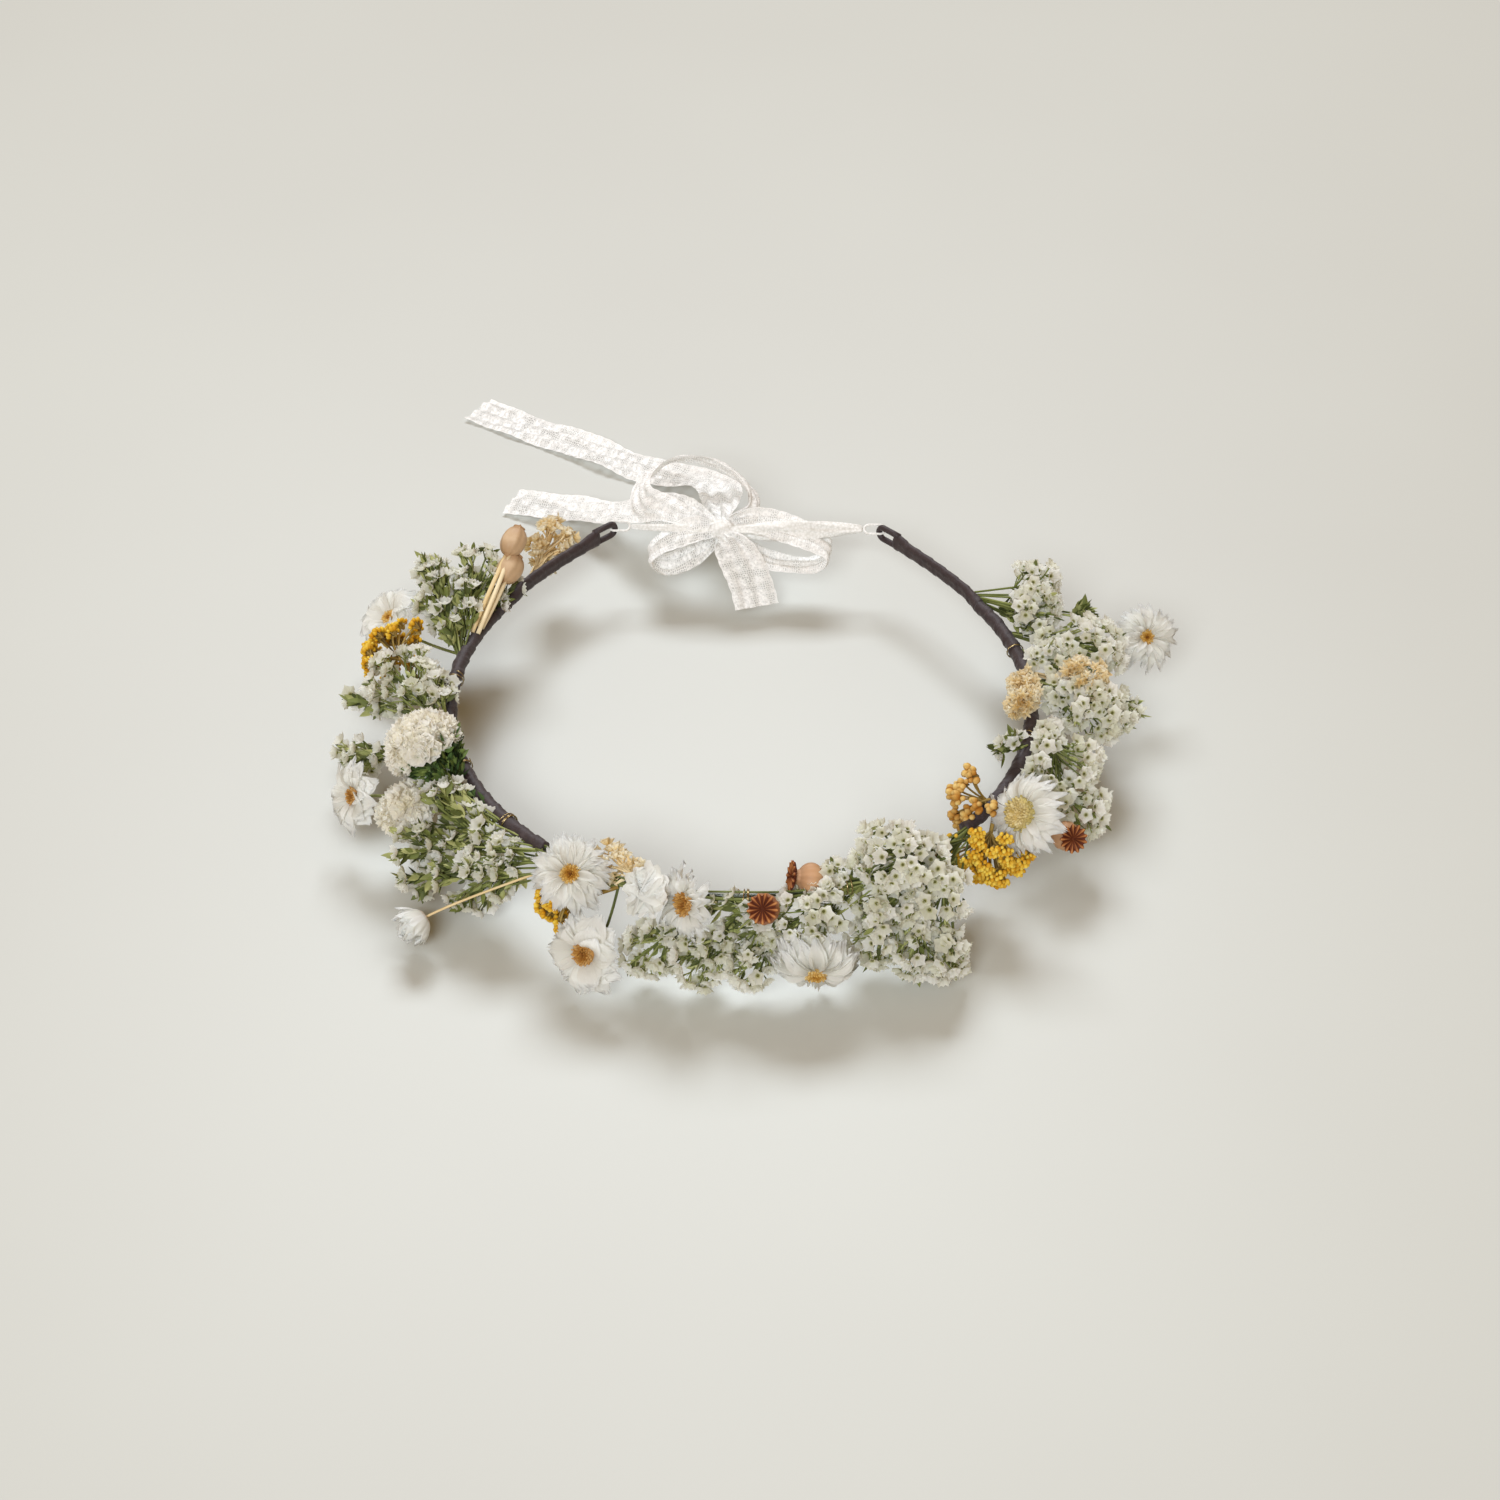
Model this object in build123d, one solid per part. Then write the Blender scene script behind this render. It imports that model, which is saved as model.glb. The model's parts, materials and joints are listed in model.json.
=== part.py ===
"""A dried-flower crown: a wire band with a hairpin eye at each end, wrapped in floral tape, with
dried flowers bound round it and a lace ribbon tied in a bow between the two eyes.

Everything on the band is laid out in the ring's own coordinates: a place is an angle round the
ring (0 degrees is +X, 90 degrees is the open back, 270 degrees the front), a distance out from
the wire and a height above the ring's plane.  The ribbon is laid out above the table.
"""

import os
from math import atan2, cos, degrees, pi, radians, sin

from build123d import *

# ---- driving dimensions, in millimetres and degrees --------------------------------------------
BAND_LENGTH = 500.0  # the wrapped band from eye to eye, the adult size
RING_RADIUS = 94.0  # from the ring's centre to the middle of the wire
ARC_HALF = 122.0  # the round part of the band reaches this far each side of the front
END_RADIUS = 190.0  # the two ends are straighter than the rest
RING_HEIGHT = 26.0  # the ring's centre above the table
RING_TILT = 3.0  # the front is this much higher than the back
WIRE_RADIUS = 0.6
TAPE_RADIUS = 2.2
TAPE_GAP = 0.05  # between the wire and the tape on it
EYE_RADIUS = 2.3  # middle of the wire in the hairpin
EYE_LEG = 7.0  # each leg of the eye that carries its own thin tape
EYE_TAPE_RADIUS = 0.8
WRAP_RADIUS = 1.9  # half the width of the tape round the doubled wire
WRAP_RISE = 3.4  # half its height
RETURN_LEG = 40.0  # how far the wire is doubled back along the band
TAPE_STOP_LEFT = 232.0  # the tape ends at these angles, and the front wire is bare
TAPE_STOP_RIGHT = 318.0
STEM_RADIUS = 0.7
RIBBON_WIDTH = 15.0
RIBBON_THICK = 0.8
RIBBON_TUBE = 0.4  # the gathered ribbon where it runs through an eye
STRAND_RADIUS = 1.1  # one gathered strand beside an eye

END_LENGTH = (BAND_LENGTH - RING_RADIUS * radians(2 * ARC_HALF)) / 2
END_TURN = degrees(END_LENGTH / END_RADIUS)
LEFT_START = 270.0 - ARC_HALF
RIGHT_START = 270.0 + ARC_HALF - 360.0
RING_PLACE = Location((0, 0, RING_HEIGHT), (-RING_TILT, 0, 0))

parts = {}


def spot(angle, out=0.0, up=0.0):
    """A point by angle round the ring, distance out from the wire and height above the ring's plane."""
    return Vector((RING_RADIUS + out) * cos(radians(angle)), (RING_RADIUS + out) * sin(radians(angle)), up)


def pointing(azimuth, elevation):
    """The unit vector of a compass direction round the ring and an angle above its plane."""
    flat = cos(radians(elevation))
    return Vector(flat * cos(radians(azimuth)), flat * sin(radians(azimuth)), sin(radians(elevation)))


def ring_section(angle, section, radius=RING_RADIUS):
    """A section drawn in the XY plane, stood across the wire at that angle: its X is out and its Y up."""
    radial = pointing(angle, 0)
    tangent = Vector(-radial.Y, radial.X, 0)
    return Plane(origin=radial * radius, x_dir=radial, z_dir=-tangent) * section


def swept_ring(section, start, end, radius=RING_RADIUS):
    """A section carried round the ring's axis from one angle to another."""
    return revolve(ring_section(start, section, radius), Axis.Z, end - start)


def turned(lines):
    """A solid of revolution about Z from lines in order in the XZ plane, the first and last ends on Z."""
    closing = Line(lines[-1] @ 1, lines[0] @ 0)
    return revolve(make_face([*lines, closing]), Axis.Z)


def dome(radius, rim, top):
    """The profile of a round cap: from its rim to its top on Z, on a circle about a point on Z."""
    sphere = (radius**2 + (top - rim) ** 2) / (2 * (top - rim))
    half = atan2(radius, sphere - (top - rim)) / 2
    shoulder = (sphere * sin(half), 0, top - sphere * (1 - cos(half)))
    return ThreePointArc((radius, 0, rim), shoulder, (0, 0, top))


ON_BASE = (Align.CENTER, Align.CENTER, Align.MIN)


def aimed(solid, base, direction):
    """Stands a solid built along +Z on base, so that its Z runs along direction."""
    return Plane(origin=base, z_dir=direction).location * solid


def rod(start, end, radius=STEM_RADIUS):
    """A straight round stem between two points."""
    return aimed(Cylinder(radius, (end - start).length, align=ON_BASE), start, end - start)


def add(name, *solids, place=RING_PLACE):
    """Keeps the solids as one node, moved from their own layout into the model."""
    kept = parts.setdefault(name, [])
    kept.extend(place * s for s in solids)


# ---- the wire frame ----------------------------------------------------------------------------
# One dark green florist's wire: the round band, two straighter ends and a hairpin eye at each.
# The right half is built and mirrored for the left, because both ends are bent the same way.
def end_arc(section, start=0.0, length=END_LENGTH):
    """A section carried along the right end, from start to start + length past the round part.
    The section's X is out from the ring and its Y is up."""
    radial = pointing(RIGHT_START, 0)
    centre = radial * (RING_RADIUS - END_RADIUS)
    turn_start, turn_end = (degrees(s / END_RADIUS) for s in (start, start + length))
    placed = Plane(origin=radial * RING_RADIUS, x_dir=radial, z_dir=-Vector(-radial.Y, radial.X, 0)) * section
    axis = Axis(centre, (0, 0, 1))
    return revolve(placed.rotate(axis, turn_start), axis, turn_end - turn_start)


def eye_frame():
    """The plane of the right hairpin: origin at its middle, X along the band's end, Y up."""
    radial = pointing(RIGHT_START, 0)
    centre = radial * (RING_RADIUS - END_RADIUS)
    tip_radial = pointing(RIGHT_START + END_TURN, 0)
    ahead = Vector(-tip_radial.Y, tip_radial.X, 0)
    mouth = centre + tip_radial * END_RADIUS + Vector(0, 0, EYE_RADIUS)
    return Plane(origin=mouth, x_dir=ahead, z_dir=-tip_radial)


EYE = eye_frame()


def eye_bend(section):
    """A section carried round the hairpin's half turn, from the lower leg to the upper one."""
    start = Plane(origin=EYE.origin - Vector(0, 0, EYE_RADIUS), x_dir=EYE.z_dir, z_dir=EYE.x_dir) * section
    return revolve(start, Axis(EYE.origin, EYE.z_dir), 180)


def both_ends(solid):
    """The solid and its mirror image on the left end."""
    return solid, mirror(solid, Plane.YZ)


def frame_wire():
    section = Circle(WIRE_RADIUS)
    upper = Pos(0, 2 * EYE_RADIUS) * section
    end = end_arc(section) + end_arc(upper, END_LENGTH - RETURN_LEG, RETURN_LEG) + eye_bend(section)
    right, left = both_ends(end)
    band = swept_ring(section, RIGHT_START, LEFT_START - 360)
    return band + right + left


def tape_ring(start, end):
    return swept_ring(Circle(TAPE_RADIUS) - Circle(WIRE_RADIUS + TAPE_GAP), start, end)


def tape_end():
    """The tape of one end: wide over the doubled wire, thin on the eye and round on the single wire."""
    hole = Circle(WIRE_RADIUS + TAPE_GAP)
    holes = hole + Pos(0, 2 * EYE_RADIUS) * hole
    wide = Pos(0, EYE_RADIUS) * Ellipse(WRAP_RADIUS, WRAP_RISE) - holes
    thin = Circle(EYE_TAPE_RADIUS) - hole
    joined = end_arc(wide, END_LENGTH - RETURN_LEG, RETURN_LEG - EYE_LEG)
    legs = end_arc(thin + Pos(0, 2 * EYE_RADIUS) * thin, END_LENGTH - EYE_LEG, EYE_LEG)
    single = end_arc(Circle(TAPE_RADIUS) - hole, 0, END_LENGTH - RETURN_LEG)
    return joined + legs + eye_bend(thin) + single


add("frame_wire", frame_wire())
tape_right, tape_left = both_ends(tape_end())
add("tape_right_end", tape_right)
add("tape_left_end", tape_left)
LEFT_MIDDLE = (LEFT_START + TAPE_STOP_LEFT) / 2
RIGHT_MIDDLE = (RIGHT_START + TAPE_STOP_RIGHT - 360) / 2
add("tape_left_side", tape_ring(LEFT_START, LEFT_MIDDLE))
add("tape_left_front", tape_ring(LEFT_MIDDLE, TAPE_STOP_LEFT))
add("tape_right_side", tape_ring(RIGHT_START, RIGHT_MIDDLE))
add("tape_right_front", tape_ring(RIGHT_MIDDLE, TAPE_STOP_RIGHT - 360))

# Stems that run beside the bare wire across the front, and the fine wire that binds them to it.
FRONT_STEMS = [(1.7, 0.3), (0.5, -1.8), (1.9, -1.6)]  # out and up from the wire
for out, up in FRONT_STEMS:
    strand = Pos(out, up) * Circle(STEM_RADIUS)
    add("front_stems", swept_ring(strand, TAPE_STOP_LEFT + 1, TAPE_STOP_RIGHT - 1))

BINDING_RADIUS = 0.2
FRONT_BINDINGS = [240, 253, 272, 290, 309]
TAPE_BINDINGS = [176, 203, 222, -12, 16]
BINDING_TURNS = [-0.5, 0.0, 0.5]  # degrees between the turns of one binding
FRONT_BUNDLE = (0.9, -0.7, 2.35)  # out and up of the bundle's middle, and the radius of a turn


def binding(angle, out, up, radius):
    across = Plane(origin=spot(angle, out, up), z_dir=pointing(angle + 90, 0))
    return across.location * Torus(radius, BINDING_RADIUS)


for angle in FRONT_BINDINGS:
    add("binding_wire", *(binding(angle + turn, *FRONT_BUNDLE) for turn in BINDING_TURNS))
for angle in TAPE_BINDINGS:
    add("binding_wire", *(binding(angle + turn, 0, 0, TAPE_RADIUS + BINDING_RADIUS) for turn in BINDING_TURNS))


def root_point(angle):
    """Where a flower's stem leaves the band: under the tape, or on the outside of the bare bundle."""
    if TAPE_STOP_LEFT < angle < TAPE_STOP_RIGHT:
        return spot(angle, 3.3, -0.6)
    return spot(angle, TAPE_RADIUS, 0)


# ---- statice and other bushy sprigs ------------------------------------------------------------
def sprig(root, head, radius, length):
    """One dried sprig: a stem from the band that opens into a bushy head, as a body of revolution.
    head is the middle of the bushy part."""
    axis = head - root
    reach = axis.length + length / 2
    neck = reach - length
    widest = neck + 0.58 * length
    lines = [
        Line((0, 0, 0), (STEM_RADIUS, 0, 0)),
        Line((STEM_RADIUS, 0, 0), (STEM_RADIUS, 0, neck)),
        Line((STEM_RADIUS, 0, neck), (radius, 0, widest)),
        dome(radius, widest, reach),
    ]
    return aimed(turned(lines), root, axis)


# name, then angle, out and up of the head, its radius and length, and the root's angle
SPRIGS = [
    ("statice_back_left", 156, 12, 6.5, 12, 32, 169),
    ("statice_left_upper", 182, 14, 3.5, 12, 26, 194),
    ("statice_left_lower", 186, 30, -18.4, 8.5, 16, 200),
    ("statice_left_fan", 215, 12, -2, 10, 26, 230),
    ("statice_left_fan", 226, 9, -4, 8, 18, 236),
    ("statice_left_spread", 220, 20, -10, 11, 28, 237),
    ("statice_front_left", 257, 9, -14, 9, 20, 268),
    ("statice_front_left", 265.5, 9, -15, 9, 20, 276),
    ("statice_front", 284.5, 5, -4, 10, 24, 296),
    ("statice_front_right_upper", 301, 2, 7, 12, 24, 316),
    ("statice_front_right_lower", 300, 9, -6, 12, 26, 317),
    ("statice_front_right_lower", 300, 26, -23.4, 8, 16, 312),
    ("statice_right_inner", 343, 11, 2, 11, 28, 355),
    ("statice_right_inner", 338, 20, -8, 9, 18, 348),
    ("statice_right_outer", 358, 16, 2, 10, 32, 5),
    ("statice_right_outer", 3, 26, -15.9, 10, 20, 15),
    ("statice_right_back", 11.2, 17, 6.5, 9, 34, 22),
    ("statice_back_right", 23, 12.5, 11.5, 10, 20, 37),
    ("green_sprig_back_right", 19, 26, 4.5, 5, 14, 34),
]
for name, angle, out, up, radius, length, root in SPRIGS:
    add(name, sprig(root_point(root), spot(angle, out, up), radius, length))

# Small pale yellow sprigs.
PALE_SPRIGS = [
    ("pale_sprig_left_end", 124.0, 13, -15.2, 6, 15, 142),
    ("pale_sprig_front", 248, -3, 2, 5, 14, 258),
    ("pale_sprigs_right", 359, -3, 6, 4.5, 28, 11),
    ("pale_sprigs_right", 0, 15.5, 8, 6, 16, 9),
]
for name, angle, out, up, radius, length, root in PALE_SPRIGS:
    add(name, sprig(root_point(root), spot(angle, out, up), radius, length))


# ---- yarrow ------------------------------------------------------------------------------------
def umbel(root, head, radius, depth):
    """A flat-topped yarrow head on its stem. head is the middle of the flat top."""
    axis = head - root
    reach = axis.length
    lines = [
        Line((0, 0, 0), (STEM_RADIUS, 0, 0)),
        Line((STEM_RADIUS, 0, 0), (STEM_RADIUS, 0, reach - depth)),
        Line((STEM_RADIUS, 0, reach - depth), (radius, 0, reach - 0.35 * depth)),
        dome(radius, reach - 0.35 * depth, reach),
    ]
    return aimed(turned(lines), root, axis)


UMBELS = [
    ("yarrow_left", 170, 25, 0, 11, 10, 182),
    ("yarrow_front_left", 238.4, 14, -10, 8, 9, 250),
    ("yarrow_right", 316.8, 13, -9, 12.5, 14, 327),
    ("yarrow_buds_right", 319.5, -6, 6, 10, 11, 329),
]
for name, angle, out, up, radius, depth, root in UMBELS:
    add(name, umbel(root_point(root), spot(angle, out, up), radius, depth))

# ---- daisies -----------------------------------------------------------------------------------
PETAL_COUNT = 16
PETAL_THICK = 0.8
DISC_SHARE = 0.26  # of the daisy's radius
DISC_RISE = 2.0
CUP_SHARE = 0.3  # how far the petals' tips rise, as a share of the radius


def petals(radius):
    """The papery petals as one shallow scalloped dish about Z, with the yellow disc's hole in it."""
    inner = DISC_SHARE * radius
    rise = CUP_SHARE * radius
    profile = Polyline(
        (inner + 0.1, 0, 0),
        (radius, 0, rise),
        (radius, 0, rise + PETAL_THICK),
        (inner + 0.1, 0, PETAL_THICK),
        close=True,
    )
    dish = revolve(make_face(profile), Axis.Z, 360)
    step = 2 * pi / PETAL_COUNT
    notch, tip = 0.86 * radius, radius
    scallops = [
        ThreePointArc(
            (notch * cos(i * step), notch * sin(i * step)),
            (tip * cos((i + 0.5) * step), tip * sin((i + 0.5) * step)),
            (notch * cos((i + 1) * step), notch * sin((i + 1) * step)),
        )
        for i in range(PETAL_COUNT)
    ]
    prism = extrude(make_face(Curve() + scallops), rise + PETAL_THICK + 1)
    return dish & prism


def daisy_centre(radius):
    """The domed yellow disc, which stands through the petals on the green cup below them."""
    inner = DISC_SHARE * radius
    lines = [
        Line((0, 0, 0), (inner, 0, 0)),
        Line((inner, 0, 0), (inner, 0, PETAL_THICK)),
        dome(inner, PETAL_THICK, PETAL_THICK + DISC_RISE),
    ]
    return turned(lines)


# name, then angle, out and up of the face, radius, the way that it faces and the root's angle
DAISIES = [
    ("daisy_back_left", 160.5, 33, -3, 12.5, 170, 50, 168),
    ("daisy_left", 200.5, 34, -6, 12, 215, 16, 211),
    ("daisy_front_left_upper", 241.6, 8.5, 4, 12.8, 262, 56, 249),
    ("daisy_front_left_lower", 247, 18, -16, 13.5, 246, 16, 249),
    ("daisy_front", 262.5, 6, 2, 12, 218, 18, 276),
    ("daisy_front_lower", 282.7, 16, -17, 13, 274, -25, 293),
    ("daisy_right", 324.1, 14, 7, 13.5, 215, 30, 334),
    ("daisy_back_right", 12.7, 43, 3, 11.5, 300, 44, 22),
]
CUP_DEPTH = 3.5


def cup_and_stem(face, direction, root, radius):
    """The green cup under a daisy and the stem from it to the band."""
    inner = DISC_SHARE * radius
    cup = aimed(Cone(1.0, inner, CUP_DEPTH, align=ON_BASE), face - direction * CUP_DEPTH, direction)
    return cup + rod(root, face - direction * (CUP_DEPTH - 0.6), 0.6)


for name, angle, out, up, radius, azimuth, elevation, root in DAISIES:
    face, direction = spot(angle, out, up), pointing(azimuth, elevation)
    add(name, aimed(petals(radius), face, direction))
    add("daisy_centres", aimed(daisy_centre(radius), face, direction))
    add("daisy_stems", cup_and_stem(face, direction, root_point(root), radius))


# ---- papery and cream blooms -------------------------------------------------------------------
def bloom(radius, depth):
    """A rounded head of papery petals about Z, standing on its narrow base."""
    lines = [
        Line((0, 0, 0), (0.3 * radius, 0, 0)),
        Line((0.3 * radius, 0, 0), (radius, 0, 0.5 * depth)),
        dome(radius, 0.5 * depth, depth),
    ]
    return turned(lines)


# name, then angle, out and up of the base, radius, depth, the way that it faces and the root's angle
BLOOMS = [
    ("paper_bloom_left", 222.3, 33.5, -17, 9, 13, 215, -15, 237),
    ("paper_bloom_front", 257, 2.5, 1, 8, 15, 222, 36, 267),
    ("cream_bloom_left", 202, 11, 10.5, 12, 12, 150, 50, None),
    ("cream_bloom_left_lower", 206, 18, -8, 9, 13, 195, 0, 220),
]
for name, angle, out, up, radius, depth, azimuth, elevation, root in BLOOMS:
    base, direction = spot(angle, out, up), pointing(azimuth, elevation)
    whole = aimed(bloom(radius, depth), base, direction)
    if root is not None:
        whole += rod(root_point(root), base + direction, 0.7)
    add(name, whole)

# The green cup of needle-like bracts under the large cream bloom.
CALYX_HEIGHT = 12.0
_, angle, out, up, radius, _, azimuth, elevation, _ = BLOOMS[2]
calyx_top, calyx_way = spot(angle, out, up), pointing(azimuth, elevation)
calyx_base = calyx_top - calyx_way * CALYX_HEIGHT
add(
    "cream_bloom_calyx",
    aimed(Cone(2.0, 0.8 * radius, CALYX_HEIGHT - 0.3, align=ON_BASE), calyx_base, calyx_way)
    + rod(root_point(219), calyx_base + calyx_way, 0.9),
)


# ---- seed heads --------------------------------------------------------------------------------
CROWN_LOBES = 12


def poppy(radius):
    """A dried poppy head about Z: neck, round capsule, and the lobed crown on top."""
    height = 2.1 * radius
    neck, shoulder = (0.34 * radius, 0, 0.3 * radius), (0.55 * radius, 0, 0.92 * height)
    lines = [
        Line((0, 0, 0), (0.28 * radius, 0, 0)),
        Line((0.28 * radius, 0, 0), neck),
        ThreePointArc(neck, (radius, 0, 0.55 * height), shoulder),
        Line(shoulder, (0.5 * radius, 0, height)),
        Line((0.5 * radius, 0, height), (0, 0, height)),
    ]
    step = 2 * pi / CROWN_LOBES
    notch, tip = 0.84 * radius, 1.02 * radius
    lobes = [
        ThreePointArc(
            (notch * cos(i * step), notch * sin(i * step)),
            (tip * cos((i + 0.5) * step), tip * sin((i + 0.5) * step)),
            (notch * cos((i + 1) * step), notch * sin((i + 1) * step)),
        )
        for i in range(CROWN_LOBES)
    ]
    crown = Pos(0, 0, height - 0.2) * extrude(make_face(Curve() + lobes), 1.0)
    return turned(lines) + crown


# name, then angle, out and up of the crown, radius, the way that it faces and the root's angle
POPPIES = [
    ("poppy_head_front", 274.7, 12, 6, 4.7, 264, 44, 288),
    ("poppy_head_inner", 281, -4, 3, 4.8, 186, 14, 298),
    ("poppy_head_right", 330, 26, -6, 4.6, 292, 30, 340),
]
for name, angle, out, up, radius, azimuth, elevation, root in POPPIES:
    crown_top, direction = spot(angle, out, up), pointing(azimuth, elevation)
    base = crown_top - direction * (2.1 * radius + 0.8)
    add(name, aimed(poppy(radius), base, direction) + rod(root_point(root), base + direction * 0.5, 0.8))


def urn(radius, height):
    """A straw-coloured seed urn about Z with a turned-in lip and a small point on top."""
    lines = [
        Line((0, 0, 0), (0.3 * radius, 0, 0)),
        ThreePointArc((0.3 * radius, 0, 0), (radius, 0, 0.45 * height), (0.45 * radius, 0, 0.85 * height)),
        Line((0.45 * radius, 0, 0.85 * height), (0.2 * radius, 0, height)),
        Line((0.2 * radius, 0, height), (0, 0, height)),
    ]
    return turned(lines)


URNS = [
    ("seed_urn_lower", 149.8, 0.4, 10, 4.5, 12.0, 160),
    ("seed_urn_upper", 146.3, 2.4, 17, 4.3, 12.0, 162),
]
for name, angle, out, up, radius, height, root in URNS:
    base, start = spot(angle, out, up), spot(root, 0, TAPE_RADIUS)
    way = (base - start).normalized()
    add(name, aimed(urn(radius, height), base, way) + rod(start, base + way, 0.8))


# ---- the lace ribbon ---------------------------------------------------------------------------
# The ribbon is threaded through both eyes and tied in a bow midway, and it swings about the line
# through the eyes.  Its turn through each eye slants back and up, so that it has room to swing
# down by 75 degrees and up by 15 degrees before it meets the wire.
TIP = RING_PLACE * Location(EYE.origin)
TIP_X, TIP_Y, TIP_Z = TIP.position.X, TIP.position.Y, TIP.position.Z
LOOP_SLANT = 30.0
LOOP_RADIUS = 1.7  # half the width of the turn
LOOP_END = 0.25  # how far the turn reaches past the eye's middle
LOOP_REACH = 7.0  # from the eye's middle towards the knot
KNOT_X = -9.0
KNOT_RADIUS = 4.5
FLOOR = RIBBON_THICK / 2


def eye_loop():
    """The turn of ribbon through the right eye and round the hairpin's tip, about the eye's middle."""
    straight = LOOP_REACH + LOOP_END - 2 * LOOP_RADIUS
    middle = (LOOP_END - LOOP_REACH) / 2
    outline = SlotCenterToCenter(straight, 2 * LOOP_RADIUS).wire()
    tube = sweep(Plane(origin=outline @ 0, z_dir=outline % 0) * Circle(RIBBON_TUBE), path=outline)
    return Location((0, 0, 0), (LOOP_SLANT, 0, 0)) * Pos(middle, LOOP_RADIUS, 0) * tube


right_loop = Pos(TIP_X, TIP_Y, TIP_Z) * eye_loop()
add("ribbon_eye_loops", right_loop, mirror(right_loop, Plane.YZ), place=Location())


def strand(start, end):
    """The gathered ribbon from an eye's turn to the knot: thin at the eye and fuller on its way."""
    length = (end - start).length
    full = (1.6 * STRAND_RADIUS, 0, length)
    lines = [
        Line((0, 0, 0), (STRAND_RADIUS, 0, 0)),
        ThreePointArc((STRAND_RADIUS, 0, 0), (1.9 * STRAND_RADIUS, 0, 0.6 * length), full),
        Line(full, (0, 0, length)),
    ]
    return aimed(turned(lines), start, end - start)


KNOT = Vector(KNOT_X, TIP_Y + 1.0, TIP_Z)
loop_side = Vector(0, LOOP_RADIUS * cos(radians(LOOP_SLANT)), LOOP_RADIUS * sin(radians(LOOP_SLANT)))
for name, sign in (("ribbon_strand_right", 1), ("ribbon_strand_left", -1)):
    start = Vector(sign * (TIP_X - LOOP_REACH - RIBBON_TUBE), TIP_Y, TIP_Z) + loop_side
    towards = (KNOT - start).normalized()
    add(name, strand(start, KNOT - towards * KNOT_RADIUS), place=Location())
add("ribbon_knot", Pos(*KNOT) * Sphere(KNOT_RADIUS), place=Location())


def along_side(side, start):
    """A plane that stands on the table: X runs in the compass direction side, and Y is up."""
    return Plane(origin=(start.X, start.Y, 0), x_dir=pointing(side, 0), z_dir=pointing(side - 90, 0))


def falling_strip(side, points, bend):
    """A piece of ribbon that falls from the knot.  points are (distance, height) along the side."""
    edge = offset(FilletPolyline(*points, radius=bend), FLOOR, side=Side.BOTH)
    return along_side(side, KNOT) * (Pos(0, 0, -RIBBON_WIDTH / 2) * extrude(make_face(edge), RIBBON_WIDTH))


def lying_strip(side, start, length):
    """A piece of ribbon that lies flat on the table, from the middle of its near end."""
    slab = Box(length, RIBBON_WIDTH, RIBBON_THICK, align=(Align.MIN, Align.CENTER, Align.MIN))
    return Pos(start.X, start.Y, 0) * Rot(0, 0, side) * slab


# The long tail goes back, folds over on the table and runs on to the left.
TAIL_BACK, TAIL_SIDE = 97.0, 145.0
TAIL_FALL = 46.0
fold = KNOT + pointing(TAIL_BACK, 0) * (TAIL_FALL - RIBBON_WIDTH / 2)
add(
    "ribbon_tail_long",
    falling_strip(TAIL_BACK, [(KNOT_RADIUS, TIP_Z + 1), (20, 19), (38, FLOOR), (TAIL_FALL, FLOOR)], 6)
    + lying_strip(TAIL_SIDE, fold, 122),
    place=Location(),
)
add(
    "ribbon_tail_short",
    falling_strip(152, [(KNOT_RADIUS, TIP_Z - 2), (22, 13), (44, FLOOR), (92, FLOOR)], 10),
    place=Location(),
)
add(
    "ribbon_tail_front",
    falling_strip(295, [(KNOT_RADIUS, TIP_Z - 1), (12, 18), (25, 4)], 6),
    place=Location(),
)


def bow_loop(side, rise, length, spread, width):
    """A loop of the bow: a rounded teardrop of ribbon that leaves the knot, turns and comes back."""
    corners = [(0, 0), (length, spread / 2), (length, -spread / 2)]
    outline = FilletPolyline(*corners, radius=spread / 5, close=True)
    wall = make_face(outline) - make_face(offset(outline, -RIBBON_THICK))
    along = pointing(side, rise)
    across = Vector(-sin(radians(side)), cos(radians(side)), 0)
    plane = Plane(origin=KNOT + along * (KNOT_RADIUS - 1), x_dir=along, z_dir=across)
    return plane * (Pos(0, 0, -width / 2) * extrude(wall, width))


add("bow_loop_back", bow_loop(128, 2, 34, 16, 12), place=Location())
add("bow_loop_right", bow_loop(-12, -10, 34, 12, 10), place=Location())
add("bow_loop_left", bow_loop(196, -22, 22, 11, 10), place=Location())

# ---- stand the crown on the table, centred on its own box, and write it -------------------------
nodes = {name: Compound(children=[s for part in made for s in part.solids()]) for name, made in parts.items()}
whole = Compound([s for node in nodes.values() for s in node.solids()]).bounding_box()
shift = Vector(-whole.center().X, -whole.center().Y, -whole.min.Z)
os.makedirs("parts", exist_ok=True)
for name, node in nodes.items():
    export_step(Location(shift) * Compound(children=node.solids()), f"parts/{name}.step")
ring_centre = Vector(0, 0, RING_HEIGHT) + shift
tip_right = Vector(TIP_X, TIP_Y, TIP_Z) + shift
print("nodes", len(nodes), "size", whole.size, "lowest before shift", round(whole.min.Z, 3))
print("ring centre", ring_centre, "right eye", tip_right, "left eye", tip_right - Vector(2 * TIP_X, 0, 0))
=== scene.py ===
"""A dried-flower crown lying on a pale table: the looks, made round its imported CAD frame.

Lengths are in millimetres until a piece is made, and the ring's places are an angle round it
(0 is +X, 90 the open back, 270 the front), a distance out from the wire and a height above it.
"""

import json

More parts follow.
